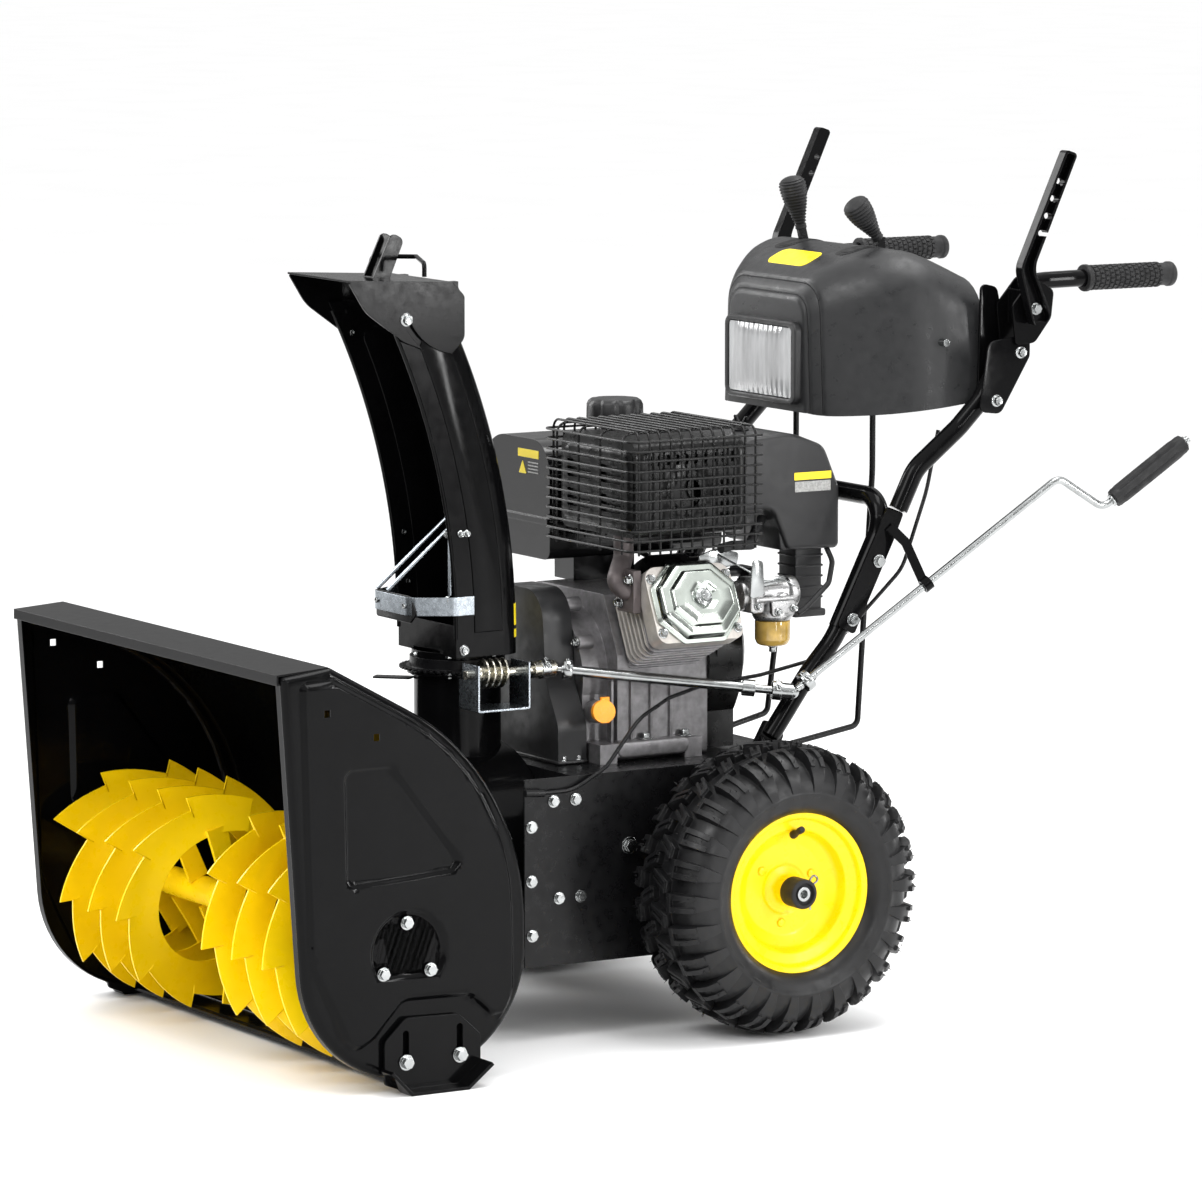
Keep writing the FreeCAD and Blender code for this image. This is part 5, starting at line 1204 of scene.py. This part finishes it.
def engine_castings():
    """Fins, cover bolts and bosses on the crankcase, and the elbow's flange bolts."""
    cast = Build()
    for k in range(9):
        x = 100.0 + 11.0 * k
        reach = 56.0 - 2.2 * k
        line = rounded([(CYLINDER_Y - 60, CRANK_Z - 44, 12), (CYLINDER_Y + 58, CRANK_Z - 44, 12),
                        (CYLINDER_Y + 58, CRANK_Z - 44 + reach,
                         6), (CYLINDER_Y - 60, CRANK_Z - 44 + reach, 6)], steps=4)
        slab(cast, line, lambda u, v, w: tilted(w, u, v), x + 9.0, x + 12.0, 1.2, 2)
    for x, z in ((-78, 396), (78, 396), (-84, 500), (84, 500), (0, 552), (-52, 546), (52, 546), (0, 362)):
        cast.turned([(0, 0, 0), (10, 0, 1), (9, 22, 2), (0, 22, 0)], 2, (x, -160, z), (0, -1, 0), 24)
    slab(cast, rounded([(-150, 350, 10), (-40, 350, 10), (-40, 372, 8), (-150, 372, 8)], steps=3),
         facing_left, 112.0, 136.0, 4.0)
    for y in (-150, -120, -90, -60):
        slab(cast, rect(y - 2, 366, y + 2, 452, 1.5, 2), facing_left, 112.0, 122.5, 1.2, 2)
    cast.make("engine_ribs", "chassis", "aluminium")
    bolts = Build()
    for x, z in ((-78, 396), (78, 396), (-84, 500), (84, 500), (0, 552), (-52, 546), (52, 546), (0, 362)):
        bolts.hex_bolt((x, -182, z), (0, -1, 0), 5.5, 5.0)
    for y in (-101, -41):
        bolts.hex_bolt((124, y, 372), (0, 0, 1), 7.5, 6.0)
    for x, z in ((136, 556), (161, 588)):
        bolts.hex_bolt((x, -147, z), (0, -1, 0), 6.0, 6.0)
    for y, z in ((CYLINDER_Y - 58, CRANK_Z - 30), (CYLINDER_Y - 58, CRANK_Z + 44),
                 (CYLINDER_Y + 56, CRANK_Z - 30),
                 (CYLINDER_Y + 56, CRANK_Z + 44)):
        start = Vector(tilted(215.5, y, z))
        bolts.hex_bolt(start, Vector(tilted(225.5, y, z)) - start, 5.5, 5.0)
    bolts.make("engine_bolts", "chassis", "zinc")


def fuel_cap():
    """Fluted fuel cap."""
    sections = []
    for z, radius, depth in ((766.4, 33, 0), (768, 37, 2.5), (770, 38.5, 4), (788, 38, 4), (793, 35.5, 3.5),
                             (795.5, 32, 1.5), (796, 26, 0)):
        section = []
        for k in range(96):
            turn = 2 * math.pi * k / 96
            r = radius - depth * (0.5 - 0.5 * math.cos(8 * turn)) ** 4
            section.append(at(-100 + r * math.cos(turn), -12 + r * math.sin(turn), z))
        sections.append(section)
    build = Build()
    build.loft(sections)
    build.make("fuel_cap_fluted", "tank_cap", "plastic", ["fuel_cap"])


def belt_cover_ribs():
    """Shoulders and ribs on the belt cover, with its foot flange and screws."""
    build = Build()
    outline = rounded([(-100, 352, 6), (100, 352, 6), (100, 398, 30), (70, 452, 36), (60, 556, 40),
                       (-60, 556, 40), (-70, 452, 36), (-100, 398, 30)], steps=6)
    slab(build, outline, facing_back, -223.6, -220.0, 1.5, 3)
    for side in (-1, 1):
        rib = rect(side * 104 - 3, 350, side * 104 + 3, 396, 2, 2)
        slab(build, rib, facing_back, -222.0, -184.0, 1.5, 2)
    foot = rect(-112, -226, 112, -180, 4, 3)
    slab(build, foot, facing_up, 345.0, 349.0, 1.4, 2)
    build.make("belt_cover_face", "chassis", "plastic")
    screws = Build()
    for x, y in ((106, -214), (106, -192)):
        screws.hex_bolt((x, y, 349), (0, 0, 1), 4.5, 4.0)
    screws.make("belt_cover_screws", "chassis", "zinc")


def engine():
    """Everything on the engine that the visual model adds or replaces."""
    valve_cover()
    shield_left()
    shield_front()
    air_cleaner()
    engine_stickers()
    carburettor_casting()
    carburettor_bolts()
    sediment_bowl()
    hoses()
    engine_castings()
    fuel_cap()
    belt_cover_ribs()


# ---------------------------------------------------------------- control panel
PANEL_ROWS = [(163, 103, 783, 940, 30), (176, 124, 781, 958, 44), (200, 152, 782, 976, 52),
              (240, 190, 786, 992, 60), (290, 220, 793, 996, 70), (360, 236, 803, 962, 60)]


def panel_arch(row, inset, count=56):
    """Open arch of the panel's section from its lower left edge over the top to the lower right one."""
    y, half, low, high, crown = row
    half -= inset
    high -= inset
    crown = max(6.0, crown - inset)
    top = half * 0.92
    corners = [(-half, low, 0), (-top, high, crown), (top, high, crown), (half, low, 0)]
    line = rounded(corners, closed=False, steps=14)
    lengths = [0.0]
    for a, b in zip(line, line[1:]):
        lengths.append(lengths[-1] + math.dist(a, b))
    points = []
    for k in range(count + 1):
        goal = lengths[-1] * k / count
        i = max(j for j in range(len(line) - 1) if lengths[j] <= goal + 1e-9)
        share = (goal - lengths[i]) / (lengths[i + 1] - lengths[i])
        points.append((line[i][0] + (line[i + 1][0] - line[i][0]) * share, y,
                       line[i][1] + (line[i + 1][1] - line[i][1]) * share))
    return points


def smooth_rows(rows, per_span=7):
    """Rows of numbers joined by a smooth curve through all of them."""
    out = []
    for i in range(len(rows) - 1):
        before = rows[max(i - 1, 0)]
        a, b = rows[i], rows[i + 1]
        after = rows[min(i + 2, len(rows) - 1)]
        for k in range(per_span):
            t = k / per_span
            row = []
            for p, q, r, s in zip(before, a, b, after):
                row.append(0.5 * (2 * q + (r - p) * t + (2 * p - 5 * q + 4 * r - s) * t ** 2
                                  + (3 * q - p - 3 * r + s) * t ** 3))
            out.append(tuple(row))
    out.append(tuple(rows[-1]))
    return out


def panel_shell():
    """Hollow moulded hood with a rounded front."""
    rows = smooth_rows(PANEL_ROWS)
    lip = 10.0
    outer = []
    for k in range(5):
        turn = math.pi / 2 * k / 5
        y, half, low, high, crown = rows[0]
        outer.append(panel_arch((y + lip * (1 - math.cos(turn)), half, low, high, crown),
                                lip * (1 - math.sin(turn))))
    outer += [panel_arch((max(row[0], 173.0 + 0.5 * i),) + row[1:], 0.0) for i,
              row in enumerate(rows) if i > 2]
    inner = [panel_arch(row, 4.0) for row in [(168.0,) + rows[0][1:]] + rows[3:]]
    build = Build()
    width = len(outer[0])
    points = [at(*p) for line in outer + inner for p in line]
    count = len(outer)
    faces = grid_faces(count, width) + grid_faces(len(inner), width, count * width)
    faces.append(tuple(range(width)))
    faces.append(tuple(reversed(range(count * width, count * width + width))))
    last_outer = (count - 1) * width
    last_inner = (count + len(inner) - 1) * width
    for j in range(width - 1):
        faces.append((last_outer + j, last_outer + j + 1, last_inner + j + 1, last_inner + j))
    for side in (0, width - 1):
        for i in range(count - 1):
            k = min(i * len(inner) // count, len(inner) - 1)
            m = min((i + 1) * len(inner) // count, len(inner) - 1)
            a, b = i * width + side, (i + 1) * width + side
            c, d = (count + m) * width + side, (count + k) * width + side
            faces.append((a, b, c, d) if c != d else (a, b, c))
    build.add(points, faces)
    build.make("control_panel_shell", "chassis", "panel_plastic", ["control_panel"], 50)


def panel_top(x, y):
    """Height of the panel's top over a point."""
    rows = smooth_rows(PANEL_ROWS)
    heights = []
    i = max(k for k in range(len(rows) - 1) if rows[k][0] <= y)
    for row in rows[i:i + 2]:
        line = [p for p in panel_arch(row, 0.0) if p[2] > (row[2] + row[3]) / 2]
        for a, b in zip(line, line[1:]):
            if a[0] <= x <= b[0]:
                heights.append(a[2] + (b[2] - a[2]) * (x - a[0]) / max(1e-6, b[0] - a[0]))
                break
    share = (y - rows[i][0]) / (rows[i + 1][0] - rows[i][0])
    return heights[0] + (heights[1] - heights[0]) * share


def draped(build, low, high, corner, height, body=2.5):
    """Plate with rounded corners, from low (x, y) to high, that lies on the panel's top."""
    middle = (low[0] + high[0]) / 2
    sections = []
    count = 26
    for i in range(count + 1):
        y = low[1] + (high[1] - low[1]) * (0.5 - 0.5 * math.cos(math.pi * i / count))
        close = min(y - low[1], high[1] - y)
        pinch = corner - math.sqrt(max(0.0, corner ** 2 - max(0.0, corner - close) ** 2))
        half = max(0.3, (high[0] - low[0]) / 2 - pinch)
        xs = [middle + half * (2 * k / 12 - 1) for k in range(13)]
        top = [at(x, y, panel_top(x, y) + height) for x in xs]
        under = [at(x, y, panel_top(x, y) - body) for x in reversed(xs)]
        sections.append(top + under)
    build.loft(sections)


def panel_details():
    """Lever slots, the plain yellow sticker and the side brackets."""
    dark = Build()
    for x in (-75, 75):
        draped(dark, (x - 15, 228), (x + 15, 342), 13.0, 0.8)
        draped(dark, (x - 11, 234), (x + 11, 336), 10.0, 1.6)
    dark.make("lever_slots", "chassis", "rubber")
    label = Build()
    draped(label, (-52, 194), (44, 228), 12.0, 0.7)
    label.make("panel_sticker", "chassis", "sticker_yellow")
    plate = Build()
    outline = rounded([(342, 806, 8), (372, 812, 8), (384, 900, 10), (372, 952, 10), (346, 958, 8)],
                      steps=4)
    slab(plate, outline, facing_left, 235.0, 239.0, 1.2, 3)
    plate.make_pair("panel_bracket_{}", "chassis", "black_paint")


def headlight():
    """Headlight: rounded bezel, ribbed clear lens, silver reflector and its lamps."""
    frame_line = rect(-88, 793, 88, 903, 14, 5)
    lens_line = rect(-78, 800, 78, 896, 9, 5)
    bezel = Build()
    loops = []
    for outline, inset, y in ((frame_line, 0.0, 163.0), (frame_line, 0.0, 154.5), (frame_line, 1.6, 152.6),
                              (lens_line, -2.0, 152.2), (lens_line, 0.0, 153.2), (lens_line, 0.6, 162.0)):
        loops.append([at(x, y, z) for x, z in shrink(outline, inset)])
    bezel.loft(loops, capped=False)
    bezel.make("headlight_bezel", "chassis", "plastic", ["headlight"])
    lens = Build()
    columns = 78
    rows = 24
    grid = []
    for i in range(columns + 1):
        x = -76.5 + 153.0 * i / columns
        for j in range(rows + 1):
            z = 801.5 + 93.0 * j / rows
            crown = 3.0 * (1 - (x / 78) ** 4) * (1 - ((z - 848) / 48) ** 4)
            rib = 0.28 * math.cos(2 * math.pi * i / 6)
            grid.append(at(x, 154.0 - crown - rib, z))
    lens.add(grid, grid_faces(columns + 1, rows + 1))
    lens.make("headlight_lens", "chassis", "clear_lens", (), 60)
    mirror = Build()
    grid = []
    for i in range(33):
        x = -77.0 + 154.0 * i / 32
        for j in range(17):
            z = 801.0 + 94.0 * j / 16
            fold = abs(((x + 77.0) / 77.0) % 1.0 - 0.5) * 2
            grid.append(at(x, 161.5 - 5.0 * fold ** 2 - 2.0 * ((z - 848) / 47) ** 2, z))
    mirror.add(grid, grid_faces(33, 17))
    mirror.make("headlight_reflector", "chassis", "mirror_silver", (), 60)
    lamps = Build()
    for x in (-38.0, 38.0):
        lamps.lathe([(0, 0), (7, 0), (8.5, 2), (7, 5), (3, 7), (0, 7.4)], (x, 161, 852), (0, -1, 0), 24)
    lamps.make("headlight_lamps", "chassis", "lamp_amber")


def knob(name, body, node, x, stem, lean_angle, bend, length, foot):
    """Panel lever: flat stem and a ribbed bulb."""
    pivot = Vector((x, 300.0, 880.0))
    lean_turn = math.radians(lean_angle)
    bulb_turn = math.radians(lean_angle + bend)
    up = Vector((0, -math.sin(lean_turn), math.cos(lean_turn)))
    top = pivot + up * stem
    build = Build()
    beside = Vector((0, math.cos(lean_turn), math.sin(lean_turn)))
    line = []
    for d, half in ((0, 12), (14, 8), (stem - 8, 6), (stem + foot - 2, 6)):
        line.append([at(*(pivot + up * d + beside * (half * a) + Vector((3.0 * b, 0, 0)))) for a,
                     b in SQUARE])
    build.loft(line)
    build.lathe([(5.05, -5), (12, -5), (12, 5), (5.05, 5)], pivot, (1, 0, 0), 32)
    build.make(name + "_stem", body, "satin_black")
    bulb = Build()
    along = Vector((0, -math.sin(bulb_turn), math.cos(bulb_turn)))
    profile = [(0, foot - 3), (7, foot - 3), (8, foot - 1.5)]
    steps = int(length / 1.4)
    for k in range(steps + 1):
        share = k / steps
        base = 7.5 + 11.0 * math.sin(min(1.0, share * 1.25) * math.pi / 2) ** 1.5
        base *= math.sqrt(max(0.0, 1 - max(0.0, (share - 0.84) / 0.165) ** 2))
        groove = 1.6 if k % 4 in (0, 1) and 0.05 < share < 0.93 else 0.0
        profile.append((max(0.4, base - groove), foot + share * (length - foot)))
    profile.append((0, length))
    bulb.lathe(profile, top, along, 40)
    bulb.make(name + "_bulb", body, "rubber", [node], 60)


def knurled_grip(name, body, start, heading, length, radius, nodes=()):
    """Rubber grip: sleeve with a flange at its start, square knurling and a rounded end."""
    build = Build()
    sleeve = [
        (11.4, 0, 0), (radius + 1, 0, 1.5), (radius + 1, 6, 1.5), (radius - 2, 9, 1),
        (radius - 2, length - 10, 2), (radius - 0.4, length - 8, 1), (radius - 0.6, length, 4),
        (0.5, length + 1, 0), (0.5, length - 4, 0),
        (11.4, length - 6, 0)]
    build.lathe(rounded(sleeve, steps=3), start, heading, 48)
    axis = Vector(heading).normalized()
    side = axis.orthogonal().normalized()
    other = axis.cross(side)
    rings = int((length - 26) / 8.0)
    for i in range(rings):
        d = 13 + 8.0 * i
        for k in range(16):
            middle = 2 * math.pi * (k + 0.5 * (i % 2)) / 16
            sections = []
            for r, half_turn, half in ((radius - 2.4, 0.16, 3.2), (radius - 0.2, 0.125, 2.4)):
                section = []
                for a, b in SQUARE:
                    turn = middle + a * half_turn
                    out = side * math.cos(turn) + other * math.sin(turn)
                    section.append(at(*(Vector(start) + out * r + axis * (d + b * half))))
                sections.append(section)
            build.loft(sections)
    build.make(name, body, "rubber", nodes, 45)


LINK_FRONT = Vector((88.4, -226.0, 469.5))
LINK_REAR = Vector((232.0, 58.0, 435.0))
CRANK_TOP = Vector((300.0, 410.0, 689.0))


def crank_handle():
    """Fluted crank grip with the zinc tip of the crank."""
    heading = (CRANK_TOP - LINK_REAR).normalized()
    down = (Vector((0, 0, -1)) + heading * heading.z).normalized()
    start = CRANK_TOP + heading * 68 + down * 72
    rows = [(0, 9, 0), (1.5, 12, 0), (6, 13, 0), (10, 13.2, 0.4), (14, 13.8, 1), (60, 14, 1),
            (108, 13.8, 1), (114, 13.2, 0.4), (119, 13, 0), (124, 12, 0), (126, 9, 0)]
    sections = []
    for d, radius, flute in rows:
        section = []
        for k, out in enumerate(spokes(heading, 72)):
            r = radius - flute * 2.4 * max(0.0, math.cos(math.pi * k / 6)) ** 2
            section.append(at(*(start + out * r + heading * d)))
        sections.append(section)
    build = Build()
    build.loft(sections)
    build.make("crank_grip_fluted", "crank_handle", "rubber", ["crank_grip"])
    tip = Build()
    tip.lathe([(0, 0), (7.5, 0), (7.5, 2), (4.5, 3), (4.5, 7), (0, 8)], start + heading * 126.2, heading,
              24)
    tip.lathe([(5.1, -3), (8.5, -3), (8.5, -0.4), (5.1, -0.4)], start, heading, 24)
    tip.make("crank_tip", "crank", "zinc")


def joint_pins():
    """Yokes and cotter pins of the universal joints."""
    worm = Vector((0, 1, 0))
    link = (LINK_REAR - LINK_FRONT).normalized()
    crank = (CRANK_TOP - LINK_REAR).normalized()
    collar = [(11, -7), (12.6, -7), (12.6, 5), (11, 5)]
    yoke = [(8, -6), (13.2, -6), (13.8, -4), (13.8, 4), (13.2, 6), (8, 6)]
    rows = (("worm_yoke", "worm", LINK_FRONT, worm, -8.0, collar),
            ("link_yoke_front", "link", LINK_FRONT, link, 24.0, yoke),
            ("link_yoke_rear", "link", LINK_REAR, link, -20.0, collar),
            ("crank_yoke", "crank", LINK_REAR, crank, 24.0, yoke))
    wire = ((-7, -1), (-2, 1.5), (3, 0), (9, 3), (11, -2), (4, -3), (-6, -3))
    for name, body, place, axis, offset, profile in rows:
        middle = place + axis * offset
        across = axis.orthogonal().normalized()
        third = axis.cross(across)
        build = Build()
        build.lathe(profile, middle, axis, 32)
        build.lathe([(0, -17), (2.6, -17), (2.6, 17), (0, 17)], middle, across, 14)
        build.pipe([tuple(middle + across * 15.5 + third * a + axis * b) + (2,) for a, b in wire], 0.9, 6, 3)
        build.make(name, body, "zinc")


def panel_ears():
    """Plates with two bolts that hold the panel's sides to the handle tubes."""
    ears = Build()
    ear = rounded([(318, 792, 10), (352, 788, 12), (398, 862, 12), (398, 892, 8), (332, 884, 14)], steps=4)
    slab(ears, ear, facing_left, 275.6, 278.2, 0.8)
    bolts = Build()
    for y, z in ((383, 868), (345, 806)):
        bolts.hex_bolt((278.2, y, z), (1, 0, 0), 6.5, 5.5)
        ears.tube([(236, y, z), (275.8, y, z)], 4.5)
    ears.make_pair("panel_ear_{}", "chassis", "black_paint")
    bolts.make_pair("ear_bolts_{}", "chassis", "zinc")


def controls():
    """Control panel, headlight, levers, grips and the crank's handle."""
    panel_shell()
    panel_details()
    headlight()
    panel_ears()
    knob("speed", "speed_control", "speed_lever", -75.0, 118.0, 14.0, 0.0, 92.0, 22.0)
    knob("deflector", "deflector_control", "deflector_lever", 75.0, 124.0, 2.0, 37.0, 72.0, 8.0)
    knurled_grip("grip_left_knurled", "chassis", (271, 487, 961), (0, 1, 0), 144.0, 17.0, ["handle_grips"])
    knurled_grip("grip_right_knurled", "chassis", (-271, 487, 961), (0, 1, 0), 144.0, 17.0)
    crank_handle()
    joint_pins()


wheels()
augers()
side_plates()
drum_collar()
chute_parts()
engine()
controls()

paint_nodes()
floor()
sky_light()
softboxes()
camera()
bpy.context.scene.view_settings.view_transform = "Standard"
